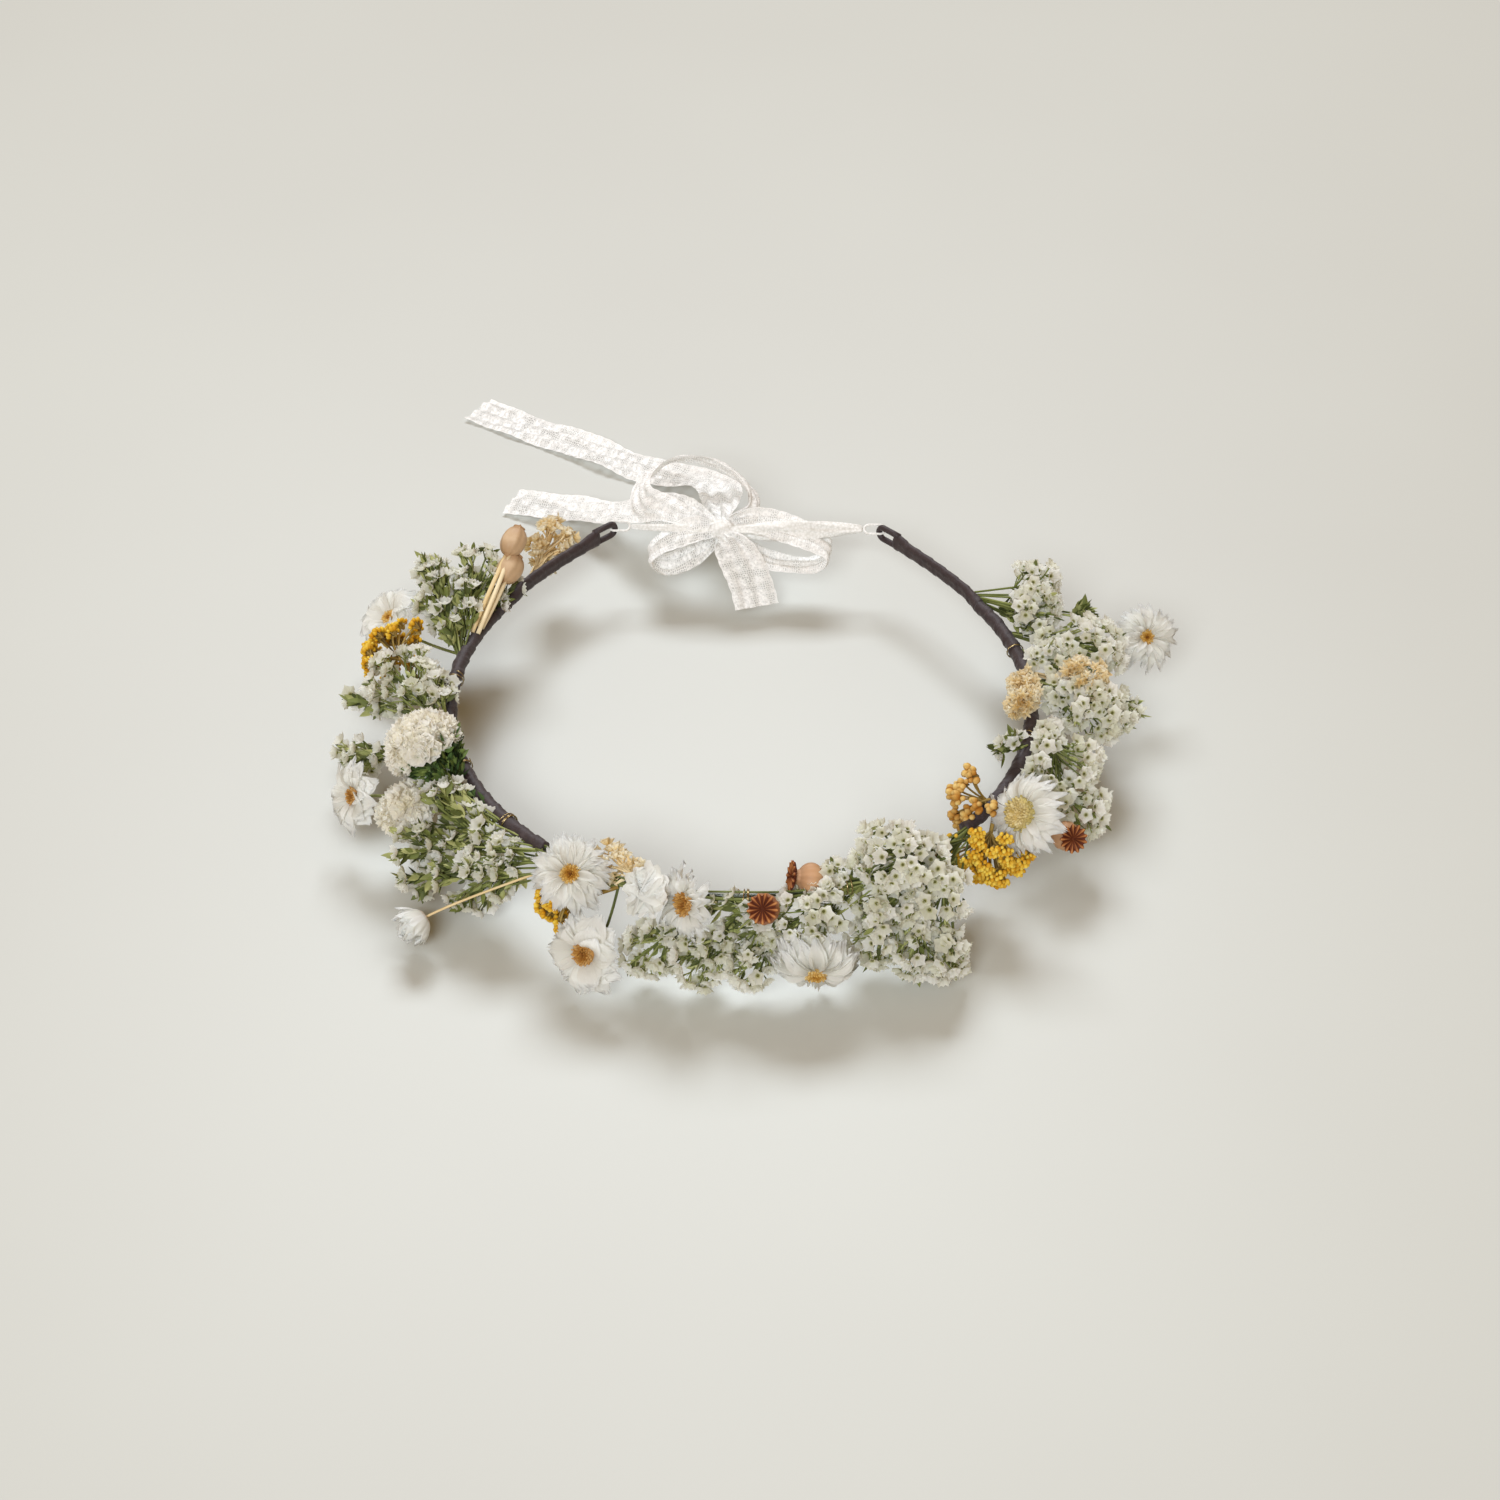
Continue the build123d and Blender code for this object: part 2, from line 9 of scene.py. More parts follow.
import bmesh
import bpy
import numpy as np
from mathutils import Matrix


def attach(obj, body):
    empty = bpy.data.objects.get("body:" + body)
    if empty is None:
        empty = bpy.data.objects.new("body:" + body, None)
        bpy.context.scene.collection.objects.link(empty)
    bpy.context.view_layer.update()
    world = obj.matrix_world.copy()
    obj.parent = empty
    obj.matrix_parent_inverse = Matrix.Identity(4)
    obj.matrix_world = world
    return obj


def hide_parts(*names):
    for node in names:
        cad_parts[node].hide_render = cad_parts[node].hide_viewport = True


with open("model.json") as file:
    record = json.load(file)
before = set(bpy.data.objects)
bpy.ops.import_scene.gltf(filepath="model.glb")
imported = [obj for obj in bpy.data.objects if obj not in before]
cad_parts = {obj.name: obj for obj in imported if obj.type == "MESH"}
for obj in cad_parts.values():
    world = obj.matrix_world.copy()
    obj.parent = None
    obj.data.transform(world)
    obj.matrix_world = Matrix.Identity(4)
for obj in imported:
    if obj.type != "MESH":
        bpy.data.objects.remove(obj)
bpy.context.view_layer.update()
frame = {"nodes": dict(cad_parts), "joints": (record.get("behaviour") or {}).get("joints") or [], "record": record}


# ---- the table it lies on, the camera and the light ---------------------------------------------
# A pale table top that runs out of view, the soft daylight of a high window behind the crown with
# a weaker one in front, and a warm room all round.  The camera looks down across the crown.
RING_CENTRE = 1000 * np.array(frame["record"]["mounts"][0]["pos_m"])
EYE_RIGHT = 1000 * np.array(frame["joints"][0]["pos_m"])
CAMERA_FROM_RING = np.array([15.7, -626.3])
CAMERA_HEIGHT = 594.3
CAMERA_PITCH, CAMERA_YAW = 43.37, 1.17
FLOOR_SIZE = 6.0


def hex_colour(code):
    """An sRGB hex colour as linear red, green, blue and alpha."""
    value = np.array([int(code[i:i + 2], 16) for i in (0, 2, 4)]) / 255
    linear = np.where(value <= 0.04045, value / 12.92, ((value + 0.055) / 1.055) ** 2.4)
    return (*linear.tolist(), 1.0)


def add_node(material, kind, settings=None, links=None):
    """Adds a node of that kind. settings are its own properties or its sockets' values, by name,
    and links are {socket: (node, output)}."""
    tree = material.node_tree
    made = tree.nodes.new(kind)
    for key, value in (settings or {}).items():
        if key in made.bl_rna.properties:
            setattr(made, key, value)
        else:
            made.inputs[key].default_value = value
    for socket, (source, output) in (links or {}).items():
        tree.links.new(source.outputs[output], made.inputs[socket])
    return made


def new_material(name, settings):
    """An empty material with its surface shader, whose even values are set on its own sockets."""
    material = bpy.data.materials.new(name)
    material.use_nodes = True
    shader = material.node_tree.nodes["Principled BSDF"]
    for key, value in settings.items():
        shader.inputs[key].default_value = value
    return material, shader


def colour_ramp(material, stops, source, output):
    """A ramp through (position, hex colour) stops, driven by a node's output."""
    ramp = add_node(material, "ShaderNodeValToRGB", links={"Fac": (source, output)})
    elements = ramp.color_ramp.elements
    while len(elements) < len(stops):
        elements.new(0.5)
    for element, (position, code) in zip(elements, stops):
        element.position = position
        element.color = hex_colour(code)
    return ramp


# Lacquered table top: a smooth, softly shining coat, a little uneven in tone.
TABLE_FEEL = {"Roughness": 0.42, "Specular IOR Level": 0.35}
table_paint, table_shader = new_material("lacquered table top", TABLE_FEEL)
place = add_node(table_paint, "ShaderNodeTexCoord")
clouds = {"Scale": 2.4, "Detail": 3.0}
cloud = add_node(table_paint, "ShaderNodeTexNoise", clouds, {"Vector": (place, "Object")})
tone = colour_ramp(table_paint, [(0.3, "bcbdb6"), (0.7, "c1c3bc")], cloud, "Fac")
table_paint.node_tree.links.new(tone.outputs["Color"], table_shader.inputs["Base Color"])
bpy.ops.mesh.primitive_plane_add(size=FLOOR_SIZE, location=(0, 0, -0.0002))
table_top = bpy.context.object
table_top.name = "table_top"
table_top.data.materials.append(table_paint)

camera_data = bpy.data.cameras.new("camera")
camera_data.sensor_width = 36.0
camera_data.lens = 62.4
camera = bpy.data.objects.new("camera", camera_data)
bpy.context.scene.collection.objects.link(camera)
camera.location = (*((RING_CENTRE[:2] + CAMERA_FROM_RING) / 1000), CAMERA_HEIGHT / 1000)
camera.rotation_euler = (np.radians(90 - CAMERA_PITCH), 0, np.radians(CAMERA_YAW))
bpy.context.scene.camera = camera


def window(name, place, size, power, code):
    """A large soft light at place, turned to face the middle of the table."""
    data = bpy.data.lights.new(name, "AREA")
    data.shape = "RECTANGLE"
    data.size, data.size_y = size
    data.energy = power
    data.color = hex_colour(code)[:3]
    light = bpy.data.objects.new(name, data)
    bpy.context.scene.collection.objects.link(light)
    light.location = place
    x, y, z = place
    light.rotation_euler = (np.arctan2(np.hypot(x, y), z), 0, np.arctan2(y, x) + np.pi / 2)


window("back_window", (-0.3, 3.2, 3.9), (2.6, 1.6), 235, "dfe7f1")
window("front_fill", (-0.7, -3.4, 3.1), (2.0, 1.5), 175, "f1f7ff")
world = bpy.data.worlds.new("soft room")
world.use_nodes = True
room = world.node_tree.nodes["Background"]
room.inputs["Color"].default_value = hex_colour("ffcb80")
room.inputs["Strength"].default_value = 0.31
bpy.context.scene.world = world
bpy.context.scene.view_settings.view_transform = "Standard"


# ---- the floral tape on the band -----------------------------------------------------------------
# Waxed crepe paper 12 mm wide, wound tightly in overlapping turns round the wire and the first
# few millimetres of every stem.  Each end is doubled back into a narrow eye, taped on its own.
RING_RADIUS, ROUND_HALF = 94.0, 122.0  # the round part, and half its angle in degrees
END_RADIUS = 190.0  # the flatter ends
RING_TILT = 3.0
BAND_HALF = 250.0  # along the wire, from the front's middle to an eye's tip
DOUBLED_FROM, EYE_FROM = 208.0, 244.5  # where the wire starts to be doubled, and its bare eye
OPEN_FROM = 236.0  # where the doubled wires start to part towards the eye
EYE_RADIUS = 2.3
RETURN_GAP = 1.3
TAPE_PITCH = 6.5
TAPE_THICK, TAPE_OVER = 1.95, 1.25  # the tape's radius round one wire, and over and under two
ROUND_LENGTH = RING_RADIUS * np.radians(ROUND_HALF)
TABLE_CLEAR = 0.2
# distances along the band of the stems bound under the tape
STEM_LUMPS = [
    -228, -206, -190, -164, -151, -138, -118, -104, -92, -80,
    96, 110, 122, 138, 150, 164, 176, 190, 205,
]


def tilted(points):
    """Moves points from the ring's level plane to the tilted ring on the table."""
    angle = np.radians(RING_TILT)
    x, y, z = np.moveaxis(np.asarray(points, float), -1, 0)
    turned = (x, y * np.cos(angle) + z * np.sin(angle), z * np.cos(angle) - y * np.sin(angle))
    return np.stack(turned, -1) + RING_CENTRE


def band_line(along):
    """The wire's middle and its outward direction, level, by the distance along it from the front's
    middle: a circle of RING_RADIUS that runs on as arcs of END_RADIUS past ROUND_LENGTH."""
    side = np.sign(along)
    past = np.maximum(np.abs(along) - ROUND_LENGTH, 0)
    near = np.minimum(np.abs(along), ROUND_LENGTH)
    corner = np.radians(270 - 360 + ROUND_HALF)
    middle = (RING_RADIUS - END_RADIUS) * np.array([np.cos(corner), np.sin(corner), 0])
    angle = np.radians(-90) + near / RING_RADIUS
    angle = np.where(past > 0, corner + past / END_RADIUS, angle)
    outward = np.stack([np.cos(angle), np.sin(angle), np.zeros_like(angle)], -1)
    points = np.where(past[..., None] > 0, middle + END_RADIUS * outward, RING_RADIUS * outward)
    flip = np.stack([np.where(side < 0, -1.0, 1.0), np.ones_like(side), np.ones_like(side)], -1)
    return points * flip, outward * flip


def smooth_step(low, high, value):
    """0 below low, 1 above high and a smooth S between."""
    t = np.clip((value - low) / (high - low), 0, 1)
    return t * t * (3 - 2 * t)


def return_gap(along):
    """How far above the wire its doubled-back end runs: wide at the eye and closed at the cut."""
    parting = smooth_step(OPEN_FROM, BAND_HALF - 3, np.abs(along))
    return 2 * RETURN_GAP + 2 * (EYE_RADIUS - RETURN_GAP) * parting


def surface(points, closed=False, tint=0.5, u=None, v=None, material=0):
    """One or more like grids of points, shaped (..., rows, columns, 3). u runs across the columns and
    v down the rows unless given. tint, for the shade, is a number for each grid or each row."""
    points = np.asarray(points, float)
    points = points.reshape(-1, *points.shape[-3:])
    count, rows, columns, _ = points.shape
    u = np.linspace(0, 1, columns) if u is None else u
    v = np.linspace(0, 1, rows)[:, None] if v is None else v
    uv = np.stack([np.broadcast_to(u, points.shape[:3]), np.broadcast_to(v, points.shape[:3])], -1)
    tint = np.asarray(tint, float)
    shades = np.broadcast_to(tint[:, None, None] if tint.ndim == 1 else tint, points.shape[:3])
    spans = columns if closed else columns - 1
    row, column = np.meshgrid(np.arange(rows - 1) * columns, np.arange(spans), indexing="ij")
    beside = (column + 1) % columns
    corners = (row + column, row + beside, row + columns + beside, row + columns + column)
    faces = np.stack(corners, -1).reshape(-1, 4)[None] + np.arange(count)[:, None, None] * rows * columns
    return points.reshape(-1, 3), uv.reshape(-1, 2), shades.reshape(-1), faces.reshape(-1, 4), material


def make_piece(name, surfaces, materials, body, slot, *nodes):
    """Joins surfaces, in millimetres, into one piece in metres that rides on a body and stands for
    CAD nodes. Nothing goes below the table top, and equal points are merged, so that poles and
    seams are closed."""
    starts = np.cumsum([0] + [len(s[0]) for s in surfaces])
    points = np.concatenate([s[0] for s in surfaces]) / 1000
    points[:, 2] = np.maximum(points[:, 2], TABLE_CLEAR / 1000)
    faces = np.concatenate([s[3] + start for s, start in zip(surfaces, starts)])
    mesh = bpy.data.meshes.new(name)
    mesh.vertices.add(len(points))
    mesh.vertices.foreach_set("co", points.ravel())
    mesh.loops.add(faces.size)
    mesh.loops.foreach_set("vertex_index", faces.ravel())
    mesh.polygons.add(len(faces))
    mesh.polygons.foreach_set("loop_start", np.arange(len(faces)) * 4)
    owners = np.repeat([s[4] for s in surfaces], [len(s[3]) for s in surfaces])
    mesh.polygons.foreach_set("material_index", owners)
    mesh.polygons.foreach_set("use_smooth", np.ones(len(faces), bool))
    mesh.update(calc_edges=True)
    layer = mesh.uv_layers.new(name="UVMap")
    layer.data.foreach_set("uv", np.concatenate([s[1] for s in surfaces])[faces.ravel()].ravel())
    shade = mesh.attributes.new("tint", "FLOAT", "POINT")
    shade.data.foreach_set("value", np.concatenate([s[2] for s in surfaces]))
    tidy = bmesh.new()
    tidy.from_mesh(mesh)
    bmesh.ops.remove_doubles(tidy, verts=tidy.verts, dist=2e-6)
    tidy.to_mesh(mesh)
    tidy.free()
    for material in materials:
        mesh.materials.append(material)
    piece = bpy.data.objects.new(name, mesh)
    bpy.context.scene.collection.objects.link(piece)
    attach(piece, body)
    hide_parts(*nodes)
    return piece


def patchy(material, place, noise, share):
    """Soft patches of noise, blended by share with each surface's own tint."""
    patch = add_node(material, "ShaderNodeTexNoise", noise, {"Vector": (place, "Object")})
    shade = add_node(material, "ShaderNodeAttribute", {"attribute_name": "tint"})
    mixed = add_node(material, "ShaderNodeMix", {"data_type": "FLOAT", "Factor": share})
    material.node_tree.links.new(patch.outputs["Fac"], mixed.inputs[2])
    material.node_tree.links.new(shade.outputs["Fac"], mixed.inputs[3])
    return mixed


def blended(material, kind, first, second):
    """Two colours, each a (node, output), put together by a blend type at its full strength."""
    mixed = add_node(material, "ShaderNodeMix", {"data_type": "RGBA", "blend_type": kind, "Factor": 1.0})
    for slot, (source, output) in ((6, first), (7, second)):
        material.node_tree.links.new(source.outputs[output], mixed.inputs[slot])
    return mixed


def grained(material, shader, tone, height, strength, depth):
    """Gives a shader its colour, and a relief of that strength and depth in metres from a node.
    tone and height are a (node, output) each."""
    bump = {"Strength": strength, "Distance": depth}
    relief = add_node(material, "ShaderNodeBump", bump, {"Height": height})
    if tone:
        material.node_tree.links.new(tone[0].outputs[tone[1]], shader.inputs["Base Color"])
    material.node_tree.links.new(relief.outputs["Normal"], shader.inputs["Normal"])


# Waxed crepe paper: matt, dark purple-brown, with fine cross wrinkles; paler where the lapped edges stand up,
# which is a painted highlight.
CREPE_FEEL = {"Roughness": 0.6, "Sheen Weight": 0.08, "Sheen Roughness": 0.5}
crepe, crepe_shader = new_material("waxed crepe paper tape", CREPE_FEEL)
place = add_node(crepe, "ShaderNodeTexCoord")
# The blotches mix random patches with each row's tint, which carries the painted highlight on the lapped edges.
blotches_and_ridge_highlight = patchy(crepe, place, {"Scale": 420.0, "Detail": 4.0, "Roughness": 0.65}, 0.5)
tone = colour_ramp(crepe, [(0.25, "20171a"), (0.5, "3a2d2e"), (0.75, "5e4d4b")], blotches_and_ridge_highlight, "Result")
wrinkles = {"Scale": 2200.0, "Detail": 2.0}
wrinkle = add_node(crepe, "ShaderNodeTexNoise", wrinkles, {"Vector": (place, "Object")})
grained(crepe, crepe_shader, (tone, "Color"), (wrinkle, "Fac"), 0.45, 0.0003)


def wound_tape(start, end):
    """The tape between two distances along the band: a round section carried along the wire, with a
    step where each turn of tape laps the last and a lump over each bound stem. Where the wire is
    doubled the section is upright, and waisted between the two wires."""
    along = np.linspace(start, end, int(abs(end - start) / 0.5))[:, None]
    round_it = np.linspace(0, 2 * np.pi, 33)[None, :-1]
    middle, outward = band_line(along[:, 0])
    doubled = smooth_step(DOUBLED_FROM - 8, DOUBLED_FROM, np.abs(along))
    lap = (along / TAPE_PITCH + round_it / (2 * np.pi)) % 1
    edge = 0.38 * (1 - lap) ** 1.4 * smooth_step(0, 0.08, lap)
    lumps = sum(np.exp(-(((along - at) / 5.5) ** 2)) for at in STEM_LUMPS)
    rough = 0.1 * np.sin(along * 1.9 + 2 * round_it) * np.sin(along * 0.73 - round_it)
    single = TAPE_THICK + edge + rough + 0.45 * lumps * np.cos(round_it / 2) ** 2
    waist = 1 - 0.16 * doubled * np.exp(-((np.sin(round_it) / 0.3) ** 2))
    across = (single * (1 - doubled) + (1.5 + 0.7 * edge + rough) * doubled) * np.cos(round_it) * waist
    gap = return_gap(along)
    tall = single * (1 - doubled) + (TAPE_OVER + 0.7 * edge + gap / 2) * doubled
    rise = tall * np.sin(round_it) + doubled * gap / 2
    points = middle[:, None] + across[..., None] * outward[:, None]
    points = points + rise[..., None] * np.array([0, 0, 1.0])
    ends = np.stack([points[0].mean(0), points[-1].mean(0)])[:, None] + np.zeros((2, points.shape[1], 3))
    # Each row's tint is paler where the lapped edge stands up: a painted highlight on the raised edge.
    shade = np.concatenate([[[0.4]], 0.2 + 1.3 * edge.mean(1, keepdims=True), [[0.4]]])
    return surface(tilted(np.concatenate([ends[:1], points, ends[1:]])), closed=True, tint=shade)


def unit(vectors):
    """Vectors at a length of 1."""
    vectors = np.asarray(vectors, float)
    return vectors / np.linalg.norm(vectors, axis=-1, keepdims=True)


def tube(lines, radius, sides=6, tint=0.5, material=0):
    """Round tubes along lines of points, shaped (count, points, 3). radius is a number or one for
    each point. A section square to the line is carried along it, and both ends run to a point."""
    lines = np.asarray(lines, float)
    lines = lines.reshape(-1, *lines.shape[-2:])
    way = unit(np.gradient(lines, axis=1))
    upright = np.where(np.abs(way[..., 2:]) < 0.9, [0, 0, 1.0], [1.0, 0, 0])
    across = unit(np.cross(way, upright))
    other = np.cross(way, across)
    round_it = np.linspace(0, 2 * np.pi, sides + 1)[:-1][:, None]
    ring = np.cos(round_it) * across[..., None, :] + np.sin(round_it) * other[..., None, :]
    radius = np.broadcast_to(radius, lines.shape[:2])[..., None, None]
    walls = lines[..., None, :] + radius * ring
    ends = np.broadcast_to(lines[..., None, :], walls.shape)
    points = np.concatenate([ends[:, :1], walls, ends[:, -1:]], 1)
    return surface(points, closed=True, tint=tint, material=material)


def hairpin(side):
    """The wire's line from one leg of an eye, round its tip and back along the other."""
    leg = BAND_HALF - EYE_FROM + 1.5
    turn = np.linspace(0, np.pi, 17)
    ahead = np.concatenate([[-leg, -leg / 2], EYE_RADIUS * np.sin(turn), [-leg / 2, -leg]])
    height = np.concatenate([[0, 0], EYE_RADIUS * (1 - np.cos(turn)), [2 * EYE_RADIUS] * 2])
    tip, outward = band_line(np.array([side * BAND_HALF]))
    forward = side * np.cross([0, 0, 1.0], outward[0])
    return tilted(tip[0] + ahead[:, None] * forward + height[:, None] * np.array([0, 0, 1.0]))


def along_band(angle):
    """The distance along the band of an angle round the ring."""
    return RING_RADIUS * np.radians((angle - 270 + 180) % 360 - 180)


TAPE_STRETCHES = [
    ("tape_left_end", -EYE_FROM, -ROUND_LENGTH),
    ("tape_left_side", -ROUND_LENGTH, along_band(190)),
    ("tape_left_front", along_band(190), along_band(232)),
    ("tape_right_front", along_band(318), along_band(355)),
    ("tape_right_side", along_band(355), ROUND_LENGTH),
    ("tape_right_end", ROUND_LENGTH, EYE_FROM),
]
for name, start, end in TAPE_STRETCHES:
    surfaces = [wound_tape(start, end)]
    if name.endswith("_end"):
        surfaces.append(tube(hairpin(np.sign(start + end)), 1.1, 12, 0.35))
    make_piece(f"{name}_crepe", surfaces, [crepe], "band", "floral_tape", name)


# ---- the florist's wires -------------------------------------------------------------------------
# The band's own wire is dark green lacquered steel, bare across the front and doubled back at each
# eye.  The binding wire is fine bright brass, a few uneven turns here and there round the bundle.
# Lacquered steel: nearly black green under a glossy coat, worn a little.  Brass: drawn and dull.
GLOSS = {"Roughness": 0.38, "Coat Weight": 0.3}
lacquer, lacquer_shader = new_material("green lacquered florist's wire", GLOSS)
place = add_node(lacquer, "ShaderNodeTexCoord")
worn = add_node(lacquer, "ShaderNodeTexNoise", {"Scale": 900.0, "Detail": 3.0}, {"Vector": (place, "Object")})
tone = colour_ramp(lacquer, [(0.3, "20240f"), (0.75, "4a5430")], worn, "Fac")
lacquer.node_tree.links.new(tone.outputs["Color"], lacquer_shader.inputs["Base Color"])
brass, brass_shader = new_material("drawn brass wire", {"Roughness": 0.3, "Metallic": 1.0})
place = add_node(brass, "ShaderNodeTexCoord")
dull = add_node(brass, "ShaderNodeTexNoise", {"Scale": 1200.0, "Detail": 2.0}, {"Vector": (place, "Object")})
tone = colour_ramp(brass, [(0.3, "8f7a50"), (0.8, "c9b688")], dull, "Fac")
brass.node_tree.links.new(tone.outputs["Color"], brass_shader.inputs["Base Color"])

WIRE_RADIUS, BINDING_RADIUS = 0.6, 0.19
RETURN_END = 212  # along the band, where the doubled-back end is cut
line, _ = band_line(np.linspace(-BAND_HALF, BAND_HALF, 501))
surfaces = [tube(tilted(line), WIRE_RADIUS, 8)]
for side in (-1, 1):
    along = side * np.linspace(BAND_HALF - 1.0, RETURN_END, 60)
    line, _ = band_line(along)
    line[:, 2] = return_gap(along)
    surfaces += [tube(tilted(line), WIRE_RADIUS, 8), tube(hairpin(side), WIRE_RADIUS, 8)]
make_piece("band_wire", surfaces, [lacquer], "band", "frame_wire", "frame_wire")

draw = np.random.default_rng(7)
# angle round the ring, out from the wire to the bundle's middle, radius of the turns and how many
BINDINGS = [
    (240, 1.2, 2.5, 4), (253, 1.2, 2.7, 3), (272, 1.2, 2.8, 3), (290, 1.2, 2.8, 4), (309, 1.2, 2.7, 3),
    (176, 0, 2.75, 2), (203, 0, 2.75, 2), (222, 0, 2.75, 3), (-12, 0, 2.75, 2), (16, 0, 2.75, 2),
]
TURN_SPACING = 1.1
surfaces = []
for angle, out, radius, turns in BINDINGS:
    t = np.linspace(-0.5, 0.5, turns * 16)
    wander = 0.5 * np.sin(5 * t + draw.uniform(0, 6))
    middle, outward = band_line(along_band(angle) + t * (TURN_SPACING * turns) + wander)
    middle += out * outward
    spin = 2 * np.pi * turns * t + draw.uniform(0, 6)
    around = np.cos(spin)[:, None] * outward + np.sin(spin)[:, None] * np.array([0, 0, 1.0])
    line = middle + radius * around
    surfaces.append(tube(tilted(line), BINDING_RADIUS, 6))
make_piece("brass_bindings", surfaces, [brass], "band", "binding_wire", "binding_wire")


# ---- stems along the bare front ------------------------------------------------------------------
# Dried stems that run on beside the bare wire: thin, slightly bent, green to straw, and bound to
# it here and there.
def bowed(starts, middles, ends, steps=8):
    """Smooth lines from starts to ends, drawn towards middles: quadratic curves, (count, steps, 3)."""
    t = np.linspace(0, 1, steps)[:, None]
    starts, middles, ends = (np.asarray(p, float).reshape(-1, 1, 3) for p in (starts, middles, ends))
    return (1 - t) ** 2 * starts + 2 * t * (1 - t) * middles + t**2 * ends


def on_ring(angle, out=0.0, up=0.0):
    """A place by angle round the ring, distance out from the wire and height above the ring."""
    turn, reach = np.radians(angle), RING_RADIUS + out
    return tilted(np.stack([reach * np.cos(turn), reach * np.sin(turn), up + 0 * turn], -1))


def heading(azimuth, elevation):
    """The direction of a compass angle round the ring and an angle above its plane."""
    a, e = np.radians(azimuth), np.radians(elevation)
    return tilted([np.cos(e) * np.cos(a), np.cos(e) * np.sin(a), np.sin(e)]) - RING_CENTRE


def root_place(angle):
    """Where a stem leaves the band: under the tape, or on the outside of the bare bundle."""
    return on_ring(angle, 2.6, -0.6) if 232 < angle < 318 else on_ring(angle, 1.4, 0)


def dried_stem(name, low, middle, high):
    """A matt stem material that runs through three colours, with fine streaks."""
    material, shader = new_material(name, {"Roughness": 0.7})
    place = add_node(material, "ShaderNodeTexCoord")
    patch = patchy(material, place, {"Scale": 140.0, "Detail": 3.0}, 0.6)
    tone = colour_ramp(material, [(0.2, low), (0.5, middle), (0.85, high)], patch, "Result")
    fine = {"Scale": 1500.0, "Detail": 2.0}
    streak = add_node(material, "ShaderNodeTexNoise", fine, {"Vector": (place, "Object")})
    grained(material, shader, (tone, "Color"), (streak, "Fac"), 0.3, 0.0002)
    return material


# Dried stems: olive green going to straw, and pale straw, matt and finely ribbed.
green_stem = dried_stem("dried green stem", "343c16", "6a7236", "aaab6c")
straw_stem = dried_stem("dried straw stem", "bd9c66", "dfc896", "efe0bd")

# out and up from the wire, how far the stem sways and its radius
FRONT_STEMS = [(1.8, 0.4, 0.5, 0.5), (0.7, -1.6, 0.4, 0.6), (2.1, -1.4, 0.7, 0.45), (0.3, 1.3, 0.3, 0.35)]
draw = np.random.default_rng(11)
turns = np.linspace(231, 319, 60)
bundle = []
for out, up, sway, radius in FRONT_STEMS:
    phase = draw.uniform(0, 6, 2)
    wave_out = out + sway * np.sin(turns * 0.19 + phase[0])
    wave_up = up + sway * np.sin(turns * 0.23 + phase[1])
    bundle.append(tube(on_ring(turns, wave_out, wave_up), radius, tint=draw.uniform(0.1, 0.7)))
make_piece("front_stem_bundle", bundle, [green_stem], "band", "stem", "front_stems")


# ---- statice -------------------------------------------------------------------------------------
# The bushy white filler: hundreds of dry papery funnels of five lobes, about 5 mm wide and green
# at the heart, in fours at the ends of twigs with small pointed bracts, and all from one stem.
LOBES = 5
GOLDEN_TURN = 2.39996  # radians: the step that spreads points evenly over a disc or a dome


def floret_template(rows=4, columns=20, lobe=0.26, depth=0.5, ripple=0.1):
    """One funnel of radius 1 about Z: radius falls between the lobes towards the rim, and the
    height rises with a power of the radius and ripples at the rim. It starts at a point."""
    u = np.linspace(0, 1, rows)[:, None] ** 0.8
    v = np.linspace(0, 2 * np.pi, columns + 1)[None, :-1]
    radius = u * (1 - lobe * u**1.5 * (0.5 - 0.5 * np.cos(LOBES * v)) ** 0.8)
    height = depth * u**1.4 + ripple * u**2 * np.sin(2 * LOBES * v + 0.7)
    return np.stack([radius * np.cos(v), radius * np.sin(v), height], -1), u + 0 * v


def facing(ways, spins):
    """Turns for templates built about Z: columns are two sides, spun about the third, the way."""
    ways = unit(ways)
    upright = np.where(np.abs(ways[..., 2:]) < 0.9, [0, 0, 1.0], [1.0, 0, 0])
    side = unit(np.cross(upright, ways))
    other = np.cross(ways, side)
    c, s = np.cos(spins)[..., None], np.sin(spins)[..., None]
    return np.stack([c * side + s * other, c * other - s * side, ways], -1)


def placed(template, turns, sizes, places):
    """Copies of a template, (count, rows, columns, 3), turned, scaled and moved."""
    sizes = np.asarray(sizes, float)
    sizes = sizes.reshape(-1, 1) if sizes.ndim < 2 else sizes
    scaled = template[None] * sizes[:, None, None, :]
    return np.einsum("kij,knmj->knmi", turns, scaled) + np.asarray(places)[:, None, None, :]


def bract_template(rows=5):
    """A small pointed leaf of length 1 along Z, hollow along its middle and bent outwards."""
    t = np.linspace(0, 1, rows)[:, None]
    side = np.array([-1.0, 0, 1.0])[None, :]
    width = 0.2 * np.sin(np.pi * t**0.75) ** 0.9
    return np.stack([side * width, 0.12 * np.abs(side) * width / 0.2 + 0.18 * t**2, t + 0 * side], -1)


